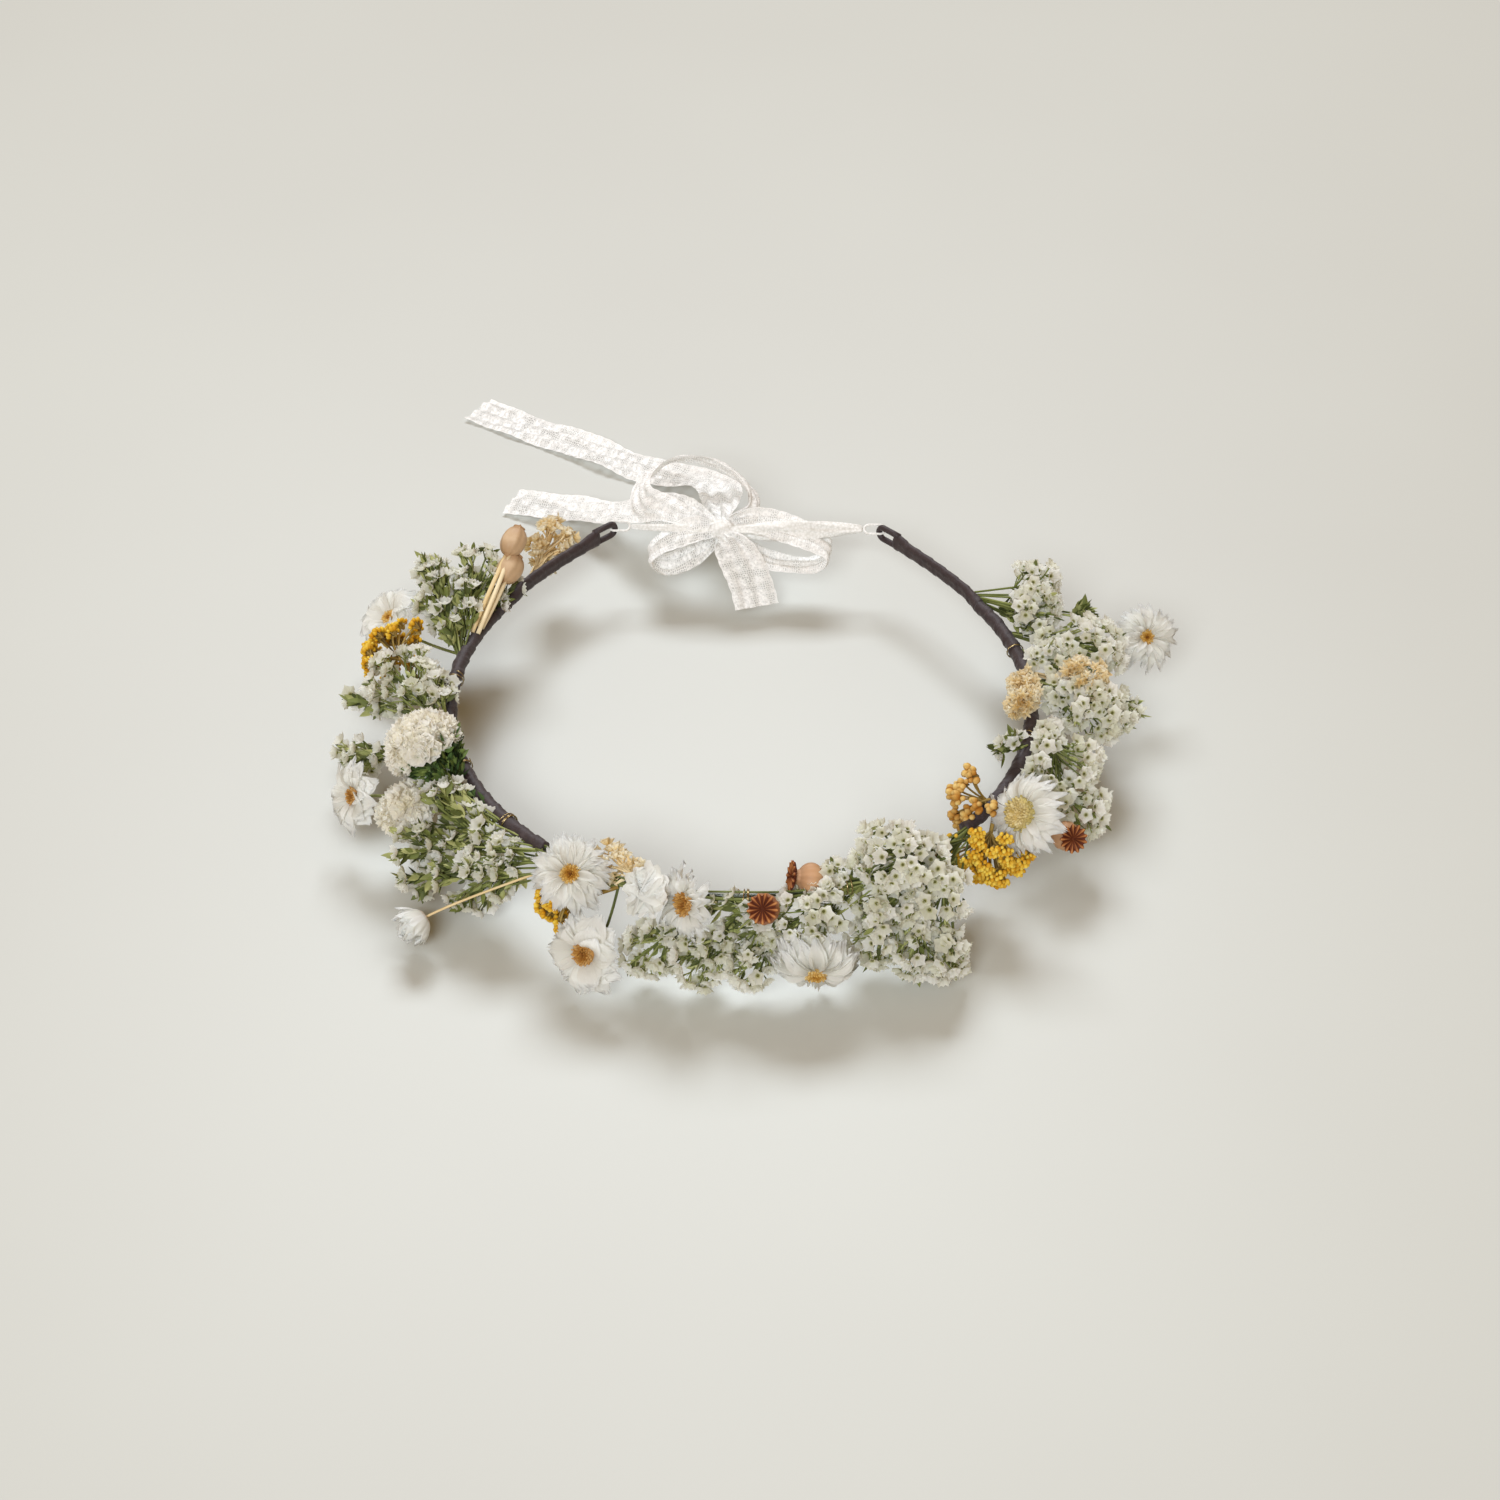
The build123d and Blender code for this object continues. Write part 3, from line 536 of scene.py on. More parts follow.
def statice_spray(draw, root, head, radius, length, florets, bracts, size, template):
    """The surfaces of one sprig: twigs and bracts in the first material, florets in the second.
    Bunches are spread down a rounded body by turns of the golden angle, widest past its middle,
    and each holds four florets that face a little apart. Leafy sprigs have larger bracts."""
    axis = unit(head - root)
    neck = head - axis * length / 2
    body_frame = facing(axis[None], np.zeros(1))[0]
    bunches = -(-florets // 4)
    index = np.arange(bunches) + draw.uniform(0, 0.8, bunches)
    t = 0.12 + 0.9 * (index / bunches) ** 0.75
    above = np.sqrt(np.clip(1 - ((t - 0.6) / 0.46) ** 2, 0, 1))
    body = np.where(t < 0.6, (t / 0.6) ** 0.7, above)
    spin = GOLDEN_TURN * index + draw.normal(0, 0.25, bunches)
    reach = body * radius * draw.uniform(0.6, 1.0, bunches)
    centres = neck + np.stack([reach * np.cos(spin), reach * np.sin(spin), t * length], -1) @ body_frame.T
    outward = np.stack([np.cos(spin), np.sin(spin), 0 * spin], -1) @ body_frame.T
    ways = unit(outward * body[:, None] + axis * (0.3 + 1.6 * np.clip(t - 0.35, 0, 1))[:, None])
    starts = neck + axis * (np.clip(t - 0.35, -0.1, 1) * length * 0.7)[:, None]

    owner = np.repeat(np.arange(bunches), 4)[:florets]
    turn = np.tile([0, 1.6, 3.1, 4.7], bunches)[:florets] + draw.normal(0, 0.3, florets)
    aside = np.stack([np.cos(turn), np.sin(turn), 0 * turn], -1)
    aside = np.einsum("kij,kj->ki", facing(ways[owner], 0 * turn), aside)
    sizes = size * draw.uniform(0.8, 1.15, florets)
    places = centres[owner] + aside * (sizes * draw.uniform(0.6, 0.95, florets))[:, None]
    flower_ways = unit(ways[owner] + 0.5 * aside + draw.normal(0, 0.2, (florets, 3)))
    stretch = sizes[:, None] * draw.uniform(0.85, 1.12, (florets, 3))
    flowers = placed(template[0], facing(flower_ways, draw.uniform(0, 6.28, florets)), stretch, places)
    made = [surface(flowers, closed=True, tint=draw.uniform(0, 1, florets), v=template[1], material=1)]

    joints = centres[owner] - ways[owner] * size
    pedicels = bowed(joints, 0.5 * (joints + places) - 0.2 * flower_ways, places + 0.1 * flower_ways, 4)
    twigs = bowed(starts, 0.5 * (starts + centres) + axis * 0.08 * length, centres - ways * size, 6)
    made.append(tube(pedicels, 0.2, 4, draw.uniform(0.2, 0.9, florets)))
    made.append(tube(twigs, 0.32, 4, draw.uniform(0, 0.8, bunches)))
    spread = draw.normal(0, 0.2, (4, 3)) * radius
    tops = neck + axis * 0.35 * length + spread
    mains = bowed(root + 0.15 * spread, 0.5 * (root + neck) + 0.5 * spread, tops, 9)
    made.append(tube(mains, 0.34, 6, draw.uniform(0, 0.8, 4)))

    chosen = draw.integers(0, bunches, bracts)
    share = draw.uniform(0.15, 1.1, bracts)[:, None]
    bases = starts[chosen] * (1 - share) + centres[chosen] * share + draw.normal(0, 0.3, (bracts, 3))
    leaf_ways = unit(0.8 * ways[chosen] + 0.5 * axis + draw.normal(0, 0.45, (bracts, 3)))
    leafy = bracts > 2 * florets
    leaf_sizes = draw.uniform(1.8, 4.2, bracts) * (1.4 if leafy else 1.0)
    leaves = placed(bract_template(), facing(leaf_ways, draw.uniform(0, 6.28, bracts)), leaf_sizes, bases)
    made.append(surface(leaves, tint=draw.uniform(0, 1, bracts)))
    return made


def dry_petal(name, stops, shadow, roughness=0.6, glow=0.35):
    """A papery petal that runs through stops from heart to rim, by the second UV, with fine veins
    along it, patches of shade down to the shadow colour and a different tone on each petal. glow is
    the share of light that comes through it from behind."""
    material, shader = new_material(name, {"Roughness": roughness, "Specular IOR Level": 0.25})
    place = add_node(material, "ShaderNodeTexCoord")
    across = add_node(material, "ShaderNodeSeparateXYZ", links={"Vector": (place, "UV")})
    tone = colour_ramp(material, stops, across, "Y")
    patch = patchy(material, place, {"Scale": 260.0, "Detail": 3.0}, 0.55)
    grey = colour_ramp(material, [(0.2, shadow), (0.7, "ffffff")], patch, "Result")
    final = blended(material, "MULTIPLY", (tone, "Color"), (grey, "Color"))
    ridges = {"Scale": 3.2, "Distortion": 1.5, "Detail": 2.0}
    veins = add_node(material, "ShaderNodeTexWave", ridges, {"Vector": (place, "UV")})
    grained(material, shader, (final, 2), (veins, "Fac"), 0.35, 0.0003)
    behind = add_node(material, "ShaderNodeBsdfTranslucent")
    material.node_tree.links.new(final.outputs[2], behind.inputs["Color"])
    both = add_node(material, "ShaderNodeMixShader", {"Fac": glow})
    material.node_tree.links.new(shader.outputs["BSDF"], both.inputs[1])
    material.node_tree.links.new(behind.outputs["BSDF"], both.inputs[2])
    output = material.node_tree.nodes["Material Output"]
    material.node_tree.links.new(both.outputs["Shader"], output.inputs["Surface"])
    return material


# Dry statice: papery white with a faint green cast and an olive heart, on matt green bracts.
STATICE_TONES = [(0.0, "3a3618"), (0.13, "757236"), (0.24, "d3d2a4"), (0.38, "f7f6ee"), (1.0, "fffffb")]
statice_petal = dry_petal("dry statice floret", STATICE_TONES, "eeeee0", 0.6, 0.55)
statice_green = dried_stem("dry statice bract", "3c4418", "6e7736", "b3b577")

# angle, out and up of the head, its radius and length, the root's angle, florets and bracts
STATICE = {
    "statice_back_left": [
        (158.5, 14, 5, 9, 36, 169, 56, 240), (153.5, 8.5, 6.5, 8, 34, 168, 48, 200),
        (149.5, 3.5, 3, 6, 24, 165, 24, 140), (151.4, 22, 11, 3, 18, 166, 4, 50),
        (155, 22, 10, 4, 16, 168, 12, 60),
    ],
    "statice_left_upper": [
        (182, 13, 4, 12, 26, 194, 116, 110), (180, 29, -4, 5, 16, 190, 8, 90),
        (184, 3, 5, 6, 14, 196, 20, 30),
    ],
    "statice_left_lower": [(189.5, 28, -10, 7, 18, 199, 36, 80)],
    "statice_left_fan": [
        (215.7, 12, -2, 11, 28, 230, 64, 240), (209.5, 10, 3, 6, 14, 222, 20, 50),
        (226, 8.6, -4, 8, 18, 236, 36, 60),
    ],
    "statice_left_spread": [
        (225, 15, -10.6, 10, 26, 239, 60, 260), (215.7, 21, -8, 8, 24, 232, 28, 200),
        (218, 24, -14, 6, 20, 234, 16, 120),
    ],
    "statice_front_left": [
        (257, 9, -14, 9, 20, 268, 56, 110), (265.5, 9, -15, 9, 20, 276, 60, 100),
        (273, 8, -9, 7, 16, 281, 32, 50), (269.8, 4, -3, 5, 12, 277, 16, 40),
    ],
    "statice_front": [
        (284.5, 5, -4, 10, 24, 296, 88, 70), (289, -1, 1, 7, 12, 299, 32, 30),
        (274, 10, -16, 7, 18, 286, 40, 70),
    ],
    "statice_front_right_upper": [(301, 2, 7, 12, 24, 316, 108, 60), (306, 5, 0, 9, 18, 318, 48, 30)],
    "statice_front_right_lower": [
        (299.4, 6, -5, 11, 26, 317, 96, 60), (306.5, 11, -5, 11, 22, 318, 80, 50),
        (295.4, 10, -15, 9, 18, 308, 56, 50), (303, 22.5, -18, 8, 14, 312, 40, 50),
        (299.5, 17, -16, 8, 18, 310, 44, 60),
    ],
    "statice_right_inner": [
        (343, 11, 2, 12, 28, 355, 112, 80), (338, 20, -8, 9, 18, 348, 56, 50),
        (340, -2, 6, 4, 10, 347, 8, 60),
    ],
    "statice_right_outer": [(358, 16, 2, 11, 32, 5, 128, 100), (0, 27, 0, 6, 16, 7, 28, 60)],
    "statice_right_back": [(11.2, 17, 6.5, 10, 34, 22, 116, 80), (8, 8, 5, 7, 16, 16, 28, 30)],
    "statice_back_right": [
        (25.5, 12.5, 12, 9, 15, 37, 56, 40), (21, 9.5, 9, 8, 14, 36, 44, 60), (21, 9, 2, 6, 28, 34, 12, 220),
    ],
}
FLORET_RADIUS, STAR_RADIUS = 2.6, 2.1
funnel = floret_template(lobe=0.28, depth=0.66, ripple=0.16)
for number, (name, sprigs) in enumerate(STATICE.items()):
    draw = np.random.default_rng(100 + number)
    surfaces = []
    for angle, out, up, *rest in sprigs:
        *sizes, root, florets, bracts = rest
        surfaces += statice_spray(
            draw, root_place(root), on_ring(angle, out, up), *sizes, florets, bracts, FLORET_RADIUS, funnel
        )
    make_piece(f"{name}_spray", surfaces, [statice_green, statice_petal], "band", "statice", name)


# ---- the green sprig and the pale sprigs ---------------------------------------------------------
# The green sprig is unopened statice, all bracts.  The pale ones are small starry florets of
# cream and straw, with narrow pointed lobes, crowded along a short stem.
draw = np.random.default_rng(31)
surfaces = statice_spray(draw, root_place(34), on_ring(19, 26, 4.5), 4.5, 12, 8, 220, 1.4, funnel)
both_greens = [statice_green, statice_green]
make_piece("green_sprig_spray", surfaces, both_greens, "band", "green_sprig", "green_sprig_back_right")

PALE_TONES = [(0.0, "c9a45c"), (0.3, "efdba6"), (0.65, "faefcd"), (1.0, "fffbea")]
pale_petal = dry_petal("dry straw-coloured floret", PALE_TONES, "f2e2c0", 0.6, 0.5)
# angle, out and up of the head, its radius and length, the root's angle and florets
PALE_SPRIGS = {
    "pale_sprig_left_end": [(131.5, 10, 2, 6.5, 22, 142, 96)],
    "pale_sprig_front": [(248, -3, 2, 5, 14, 258, 36)],
    "pale_sprigs_right": [(359, -3, 6, 4, 30, 11, 92), (0, 15.5, 8, 7, 16, 9, 72)],
}
star = floret_template(lobe=0.7, depth=1.0, ripple=0.0)
for number, (name, sprigs) in enumerate(PALE_SPRIGS.items()):
    draw = np.random.default_rng(200 + number)
    surfaces = []
    for angle, out, up, radius, length, root, florets in sprigs:
        head, bracts = on_ring(angle, out, up), florets // 2
        surfaces += statice_spray(
            draw, root_place(root), head, radius, length, florets, bracts, STAR_RADIUS, star
        )
    make_piece(f"{name}_spray", surfaces, [straw_stem, pale_petal], "band", "pale_sprig", name)


# ---- paper daisies -------------------------------------------------------------------------------
# Everlasting daisies: two or three rows of narrow, dry white petals with nicked tips, grooved along
# their length, round a low disc of tiny yellow florets, in a small straw-green cup on a thin stem.
def petal_template(rows=10, columns=7, nick=0.07):
    """A petal of length 1 along X: its half width swells and rounds off, it is hollow across, lifts
    and then falls back along its length, and its tip has three small teeth."""
    t = np.linspace(0, 1, rows)[:, None] ** 0.9
    side = np.linspace(-1, 1, columns)[None, :]
    width = 0.5 * (0.3 + 0.7 * np.sin(np.pi * (0.08 + 0.66 * t)) ** 1.2) * (1 - 0.85 * t**7) ** 0.5
    reach = t + nick * t**8 * np.cos(3 * np.pi * side) - 0.08 * t**4 * side**2
    arch = 0.12 * np.sin(np.pi * t) - 0.12 * t**3
    height = 0.3 * side**2 * width + arch + 0.012 * np.cos(3 * np.pi * side) * t
    return np.stack([reach, side * width, height], -1)


def bead_template(rows=5, columns=6):
    """A ball of radius 1 about Z, from pole to pole."""
    t = np.linspace(0, np.pi, rows)[:, None]
    v = np.linspace(0, 2 * np.pi, columns + 1)[None, :-1]
    return np.stack([np.sin(t) * np.cos(v), np.sin(t) * np.sin(v), -np.cos(t) + 0 * v], -1)


def turned_to(surfaces, place, way):
    """Surfaces built about Z, moved so that Z runs along way from place."""
    turn = facing(unit(way)[None], np.zeros(1))[0]
    return [(points @ turn.T + place, *rest) for points, *rest in surfaces]


def daisy_petals(draw, radius, rows, cup, droop, inner):
    """All petals of one daisy about Z. Each row is petals at even turns with a little disorder in
    turn, lift, length and roll; cup lifts them all by up to 60 degrees, and droop curls their ends
    back down."""
    petals, shades = [], []
    for count, length, height, lift, width in rows:
        turn = (np.arange(count) + draw.uniform(-0.3, 0.3, count)) * 2 * np.pi / count + draw.uniform(0, 6)
        rise = np.radians(lift + 60 * cup * draw.uniform(0.75, 1.25, count) + draw.normal(0, 5, count))
        roll = draw.normal(0, 0.3, count)
        reach = (radius - 0.6 * inner) * length * draw.uniform(0.8, 1.06, count)
        across = radius * width * draw.uniform(0.85, 1.2, count) / 0.5
        shape = petal_template()[None] * np.stack([reach, across, reach], -1)[:, None, None, :]
        x, y, z = np.moveaxis(shape, -1, 0)
        z = z - droop * draw.uniform(0.4, 1.5, (count, 1, 1)) * (x / radius) ** 2 * radius
        y = y + 0.12 * draw.normal(0, 1, (count, 1, 1)) * (x / radius) ** 2 * radius
        cr, sr, cu, su, ct, st = (f(a)[:, None, None] for a in (roll, rise, turn) for f in (np.cos, np.sin))
        y, z = y * cr - z * sr, y * sr + z * cr
        x, z = x * cu - z * su, x * su + z * cu
        x = x + 0.6 * inner
        petals.append(np.stack([x * ct - y * st, x * st + y * ct, z + height], -1))
        shades.append(draw.uniform(0.1, 1, count))
    return surface(np.concatenate(petals), tint=np.concatenate(shades))


DISC_FLORETS = 110


def daisy_disc(draw, radius, tall, material, inner):
    """The disc about Z: a ring-shaped cushion, tall millimetres high with a dip in the middle, and
    florets set in the spiral that real discs have, drawn out upwards."""
    t = np.linspace(0, 1, 9)[:, None]
    v = np.linspace(0, 2 * np.pi, 25)[None, :-1]
    share = np.sqrt((np.arange(DISC_FLORETS) + 0.5) / DISC_FLORETS)
    turn = GOLDEN_TURN * np.arange(DISC_FLORETS)
    rise_cap, rise = (tall * (0.55 + 0.75 * a**2 - 1.1 * a**6) for a in (t, share))
    cap = np.stack([inner * t * np.cos(v), inner * t * np.sin(v), rise_cap + 0 * v], -1)
    spots = np.stack([inner * share * np.cos(turn), inner * share * np.sin(turn), rise], -1)
    spots += draw.normal(0, 0.012 * radius, spots.shape)
    lean = np.stack([0.5 * share * np.cos(turn), 0.5 * share * np.sin(turn), 1 + 0 * turn], -1)
    sizes = inner * draw.uniform(0.075, 0.11, (DISC_FLORETS, 1)) * np.array([1, 1, 2.2])
    beads = placed(bead_template(), facing(lean + draw.normal(0, 0.15, lean.shape), turn), sizes, spots)
    shades = draw.uniform(0, 1, DISC_FLORETS)
    return [
        surface(cap[::-1], closed=True, v=t[::-1] + 0 * v, tint=0.2, material=material),
        surface(beads, closed=True, v=share[:, None, None], tint=shades, material=material),
    ]


# petals in the row, their length and height, their lift in degrees and their width
OPEN_ROWS = [(22, 1.0, -0.4, 2, 0.16), (21, 0.95, 0.2, 10, 0.15), (10, 0.72, 0.5, 22, 0.12)]
BROAD_ROWS = [(14, 1.0, -0.4, 4, 0.33), (13, 0.92, 0.2, 16, 0.3)]
FINE_ROWS = [(24, 1.0, -0.4, -6, 0.14), (23, 0.93, 0.2, 8, 0.13)]
# name: angle, out and up of the face, radius, the way that it faces, the root's angle, its rows of
# petals, how cupped they are, how far their ends curl back, the disc's radius, height and material
DAISIES = {
    "daisy_back_left": (160.5, 33, -3, 12.5, 190, 58, 168, BROAD_ROWS, 0.15, 0.05, 3.0, 2.0, 0),
    "daisy_left": (200.5, 34, -6, 12, 212, 24, 211, BROAD_ROWS, 0.15, 0.1, 3.0, 2.8, 1),
    "daisy_front_left_upper": (241.6, 8.5, 4, 12.8, 262, 56, 249, OPEN_ROWS, 0.05, 0.05, 3.4, 2.0, 0),
    "daisy_front_left_lower": (247, 18, -15.5, 13.5, 236, 22, 249, BROAD_ROWS, 0.1, 0.0, 3.8, 3.6, 1),
    "daisy_front": (262.5, 6, 2, 12, 218, 18, 276, FINE_ROWS, 0.3, 0.0, 4.2, 3.6, 1),
    "daisy_front_lower": (282.7, 18, -16, 15, 274, -22, 293, OPEN_ROWS, -0.4, 0.0, 3.4, 2.4, 0),
    "daisy_right": (324.1, 14, 7, 13.5, 215, 30, 334, FINE_ROWS, 0.0, 0.3, 5.2, 4.2, 2),
    "daisy_back_right": (12.7, 43, 3, 11.5, 300, 44, 22, OPEN_ROWS, 0.12, 0.12, 2.8, 2.0, 0),
}
# Dry everlasting petals: paper white, a little cream at the heart and half translucent.
WHITE_TONES = [(0.0, "dfd7b7"), (0.12, "f6f5ef"), (1.0, "fdfefc")]
white_petal = dry_petal("dry white daisy petal", WHITE_TONES, "f5f5f2", 0.5, 0.5)
# Dry disc florets: matt and dense, from brown at the heart to straw yellow.
GOLDEN_TONES = [(0.0, "6a3510"), (0.25, "c08a30"), (0.5, "e6be62"), (1.0, "f4e0a4")]
TAWNY_TONES = [(0.0, "8e5a22"), (0.5, "cb9a4c"), (1.0, "e6c48a")]
OLIVE_TONES = [(0.0, "e6cf8e"), (0.7, "eadba8"), (1.0, "c9bd7c")]
discs = [
    dry_petal("dry daisy disc, golden", GOLDEN_TONES, "d2b47c", 0.8, 0.1),
    dry_petal("dry daisy disc, tawny", TAWNY_TONES, "cfae78", 0.8, 0.1),
    dry_petal("dry daisy disc, olive", OLIVE_TONES, "ddd0a4", 0.8, 0.1),
]

SEPALS = 22
disc_surfaces, stem_surfaces = [], []
for number, (name, values) in enumerate(DAISIES.items()):
    angle, out, up, radius, azimuth, elevation, root, rows, cup, droop, inner, tall, disc = values
    draw = np.random.default_rng(300 + number)
    face, way = on_ring(angle, out, up), heading(azimuth, elevation)
    petals = turned_to([daisy_petals(draw, radius, rows, cup, droop, inner)], face, way)
    make_piece(f"{name}_petals", petals, [white_petal], "band", "daisy_petal", name)
    disc_surfaces += turned_to(daisy_disc(draw, radius, tall, disc, inner), face, way)
    spin = np.arange(SEPALS) * GOLDEN_TURN
    ways = np.stack([np.cos(spin), np.sin(spin), 0.9 + 0 * spin], -1)
    bases = np.stack([0.9 * np.cos(spin), 0.9 * np.sin(spin), -2.8 + 0.06 * np.arange(SEPALS)], -1)
    sepals = placed(bract_template(), facing(ways, spin * 0), [(1.7, 1.7, 3.6)] * SEPALS, bases)
    stem_surfaces += turned_to([surface(sepals, tint=draw.uniform(0.4, 1, SEPALS))], face, way)
    back, start = face - way * 2.4, root_place(root)
    line = bowed(start, face - way * (5 + 0.2 * np.linalg.norm(face - start)), back, 12)
    stem_surfaces.append(tube(line, 0.5, tint=draw.uniform(0, 0.8)))
make_piece("daisy_discs", disc_surfaces, discs, "band", "daisy_disc", "daisy_centres")
make_piece("daisy_stalks", stem_surfaces, [green_stem], "band", "stem", "daisy_stems")


# ---- papery and cream blooms ---------------------------------------------------------------------
# Two half-open everlastings whose papery petals still close over the heart, and two heads of
# cream statice: crowded frilled petals, the larger above a ruff of dark green needles.
def frilled_dome(draw, radius, depth, count):
    """Small ruffled funnels crowded over a dome about Z by turns of the golden angle, each facing
    out from it, down to a rim that hangs a little below its base."""
    share = np.sqrt((np.arange(count) + 0.5) / count)
    turn = GOLDEN_TURN * np.arange(count) + draw.normal(0, 0.15, count)
    angle = share * np.radians(104)
    ways = np.stack([np.sin(angle) * np.cos(turn), np.sin(angle) * np.sin(turn), np.cos(angle)], -1)
    spots = ways * np.array([radius, radius, depth]) * draw.uniform(0.7, 0.82, (count, 1))
    sizes = draw.uniform(2.4, 3.3, (count, 1)) * np.array([1, 1, 1.2])
    turns = facing(ways + draw.normal(0, 0.15, ways.shape), draw.uniform(0, 6.28, count))
    shape, v = floret_template(5, 20, 0.15, 0.6, 0.2)
    return [surface(placed(shape, turns, sizes, spots), closed=True, v=v, tint=draw.uniform(0, 1, count))]


def bloom_petals(draw, radius, depth, rings, spoon, frill, curl):
    """The petals of a rounded head about Z. rings are (count, share of the radius, height share,
    lean in degrees from upright); each petal is spoon times as wide as long, frilled at its end and
    curls in by curl."""
    made = []
    for count, share, height, lean in rings:
        turn = (np.arange(count) + draw.uniform(-0.3, 0.3, count)) * 2 * np.pi / count + draw.uniform(0, 6)
        t = np.linspace(0, 1, 9)[:, None]
        side = np.linspace(-1, 1, 9)[None, :]
        width = np.sin(0.5 * np.pi * (0.2 + 0.8 * t)) * (1 - t**8) ** 0.5
        phase = draw.uniform(0, 6, count)[:, None, None]
        ruffle = frill * t**2 * (np.sin(side * 5 + phase) + 0.5 * np.sin(side * 11 + 2 * phase))
        bend = np.radians(lean + draw.normal(0, 7, count))[:, None, None] - curl * t
        size = depth * draw.uniform(0.5, 0.66, count)[:, None, None]
        out = share * radius * 0.45 + size * t * np.sin(bend) + ruffle * size * 0.6
        rise = height * depth + size * t * np.cos(bend) + ruffle * size * 0.4
        across = size * spoon * width * side * (1 + 0 * out)
        out = out - 0.3 * side**2 * size * width * spoon
        ct, st = np.cos(turn)[:, None, None], np.sin(turn)[:, None, None]
        points = np.stack([out * ct - across * st, out * st + across * ct, rise], -1)
        made.append(surface(points, tint=draw.uniform(0, 1, count)))
    return made


# Papery petals: the cream ones dense and matt, the pearly ones smoother, buff at the heart.
CREAM_TONES = [(0.0, "f4eecb"), (0.25, "fdfbf0"), (1.0, "fffefa")]
PEARL_TONES = [(0.0, "e4d2be"), (0.2, "f9f7f2"), (1.0, "fdfffe")]
cream_petal = dry_petal("dry cream statice petal", CREAM_TONES, "fcf9ee", 0.6, 0.5)
pearl_petal = dry_petal("dry pearly petal", PEARL_TONES, "f6f6f2", 0.42, 0.45)
BUD_RINGS = [(14, 0.5, 0.0, 62), (13, 0.45, 0.05, 42), (12, 0.4, 0.1, 26), (9, 0.3, 0.15, 10)]
PAPER_RINGS = [(7, 0.75, 0.0, 44), (6, 0.7, 0.04, 26), (6, 0.5, 0.1, 14), (5, 0.34, 0.16, 4)]
# name: angle, out and up of the base, radius and depth, the way that it faces and the root's angle,
# with its rings of petals, their spoon, frill and curl
PAPER_BLOOMS = {
    "paper_bloom_left": ((222.3, 33.5, -18.5, 9.5, 13, 215, -15, 237), (BUD_RINGS, 0.26, 0.12, 0.5)),
    "paper_bloom_front": ((257, 2.5, 1, 8, 16, 222, 36, 267), (PAPER_RINGS, 0.85, 0.03, 1.1)),
}
for number, (name, (shape, petals)) in enumerate(PAPER_BLOOMS.items()):
    angle, out, up, radius, depth, azimuth, elevation, root = shape
    draw = np.random.default_rng(400 + number)
    base, way = on_ring(angle, out, up), heading(azimuth, elevation)
    surfaces = turned_to(bloom_petals(draw, radius, depth, *petals), base, way)
    surfaces.append(tube(bowed(root_place(root), base - way * 6, base + way * 2, 10), 0.4, material=1))
    make_piece(f"{name}_petals", surfaces, [pearl_petal, straw_stem], "band", "paper_petal", name)

# as above, with how many small funnels; the first stands on the ruff's stalk
CREAM_BLOOMS = {
    "cream_bloom_left": (202, 11.5, 10.5, 13, 11, 140, 44, None, 190),
    "cream_bloom_left_lower": (206, 18, -8, 9.5, 13, 195, 0, 220, 110),
}
for number, (name, values) in enumerate(CREAM_BLOOMS.items()):
    angle, out, up, radius, depth, azimuth, elevation, root, funnels = values
    draw = np.random.default_rng(402 + number)
    base, way = on_ring(angle, out, up), heading(azimuth, elevation)
    surfaces = turned_to(frilled_dome(draw, radius, depth, funnels), base, way)
    if root is not None:
        stalk = bowed(root_place(root), base - way * 6, base + way * 2, 10)
        surfaces.append(tube(stalk, 0.4, material=1))
    make_piece(f"{name}_petals", surfaces, [cream_petal, green_stem], "band", "cream_petal", name)

# Needle bracts of the ruff: stiff and dark green.
RUFF_HEIGHT, NEEDLES, STALK_NEEDLES = 14.0, 620, 160
needle_green = dried_stem("dark green needle bract", "22300e", "45602a", "7e9048")
draw = np.random.default_rng(77)
top, way = on_ring(202, 11, 10.5), heading(150, 46)
spin, share = draw.uniform(0, 2 * np.pi, NEEDLES), draw.uniform(0, 1, NEEDLES)
out = 1.0 + 8.5 * share**0.8
bases = np.stack([out * np.cos(spin), out * np.sin(spin), RUFF_HEIGHT * (share - 1.12)], -1)
ways = np.stack([np.cos(spin) * 0.75, np.sin(spin) * 0.75, 0.7 + 0 * spin], -1)
ways = ways + draw.normal(0, 0.28, (NEEDLES, 3))
turns = facing(ways, draw.uniform(0, 6, NEEDLES))
needles = placed(bract_template(), turns, draw.uniform(2.5, 5.0, NEEDLES), bases)
surfaces = turned_to([surface(needles, tint=draw.uniform(0, 1, NEEDLES))], top, way)
stalk = bowed(root_place(219), top - way * (RUFF_HEIGHT + 6), top - way * 2, 12)
surfaces.append(tube(stalk, np.linspace(0.9, 1.8, 12), tint=0.2))
step = draw.integers(1, 9, STALK_NEEDLES)
places = stalk[0][step] + draw.normal(0, 0.9, (STALK_NEEDLES, 3))
ways = unit(stalk[0][step + 1] - stalk[0][step - 1]) + draw.normal(0, 0.35, (STALK_NEEDLES, 3))
turns = facing(ways, draw.uniform(0, 6, STALK_NEEDLES))
leaves = placed(bract_template(), turns, draw.uniform(2.5, 5.0, STALK_NEEDLES), places)
surfaces.append(surface(leaves, tint=draw.uniform(0, 1, STALK_NEEDLES)))
make_piece("cream_bloom_ruff", surfaces, [needle_green], "band", "calyx", "cream_bloom_calyx")


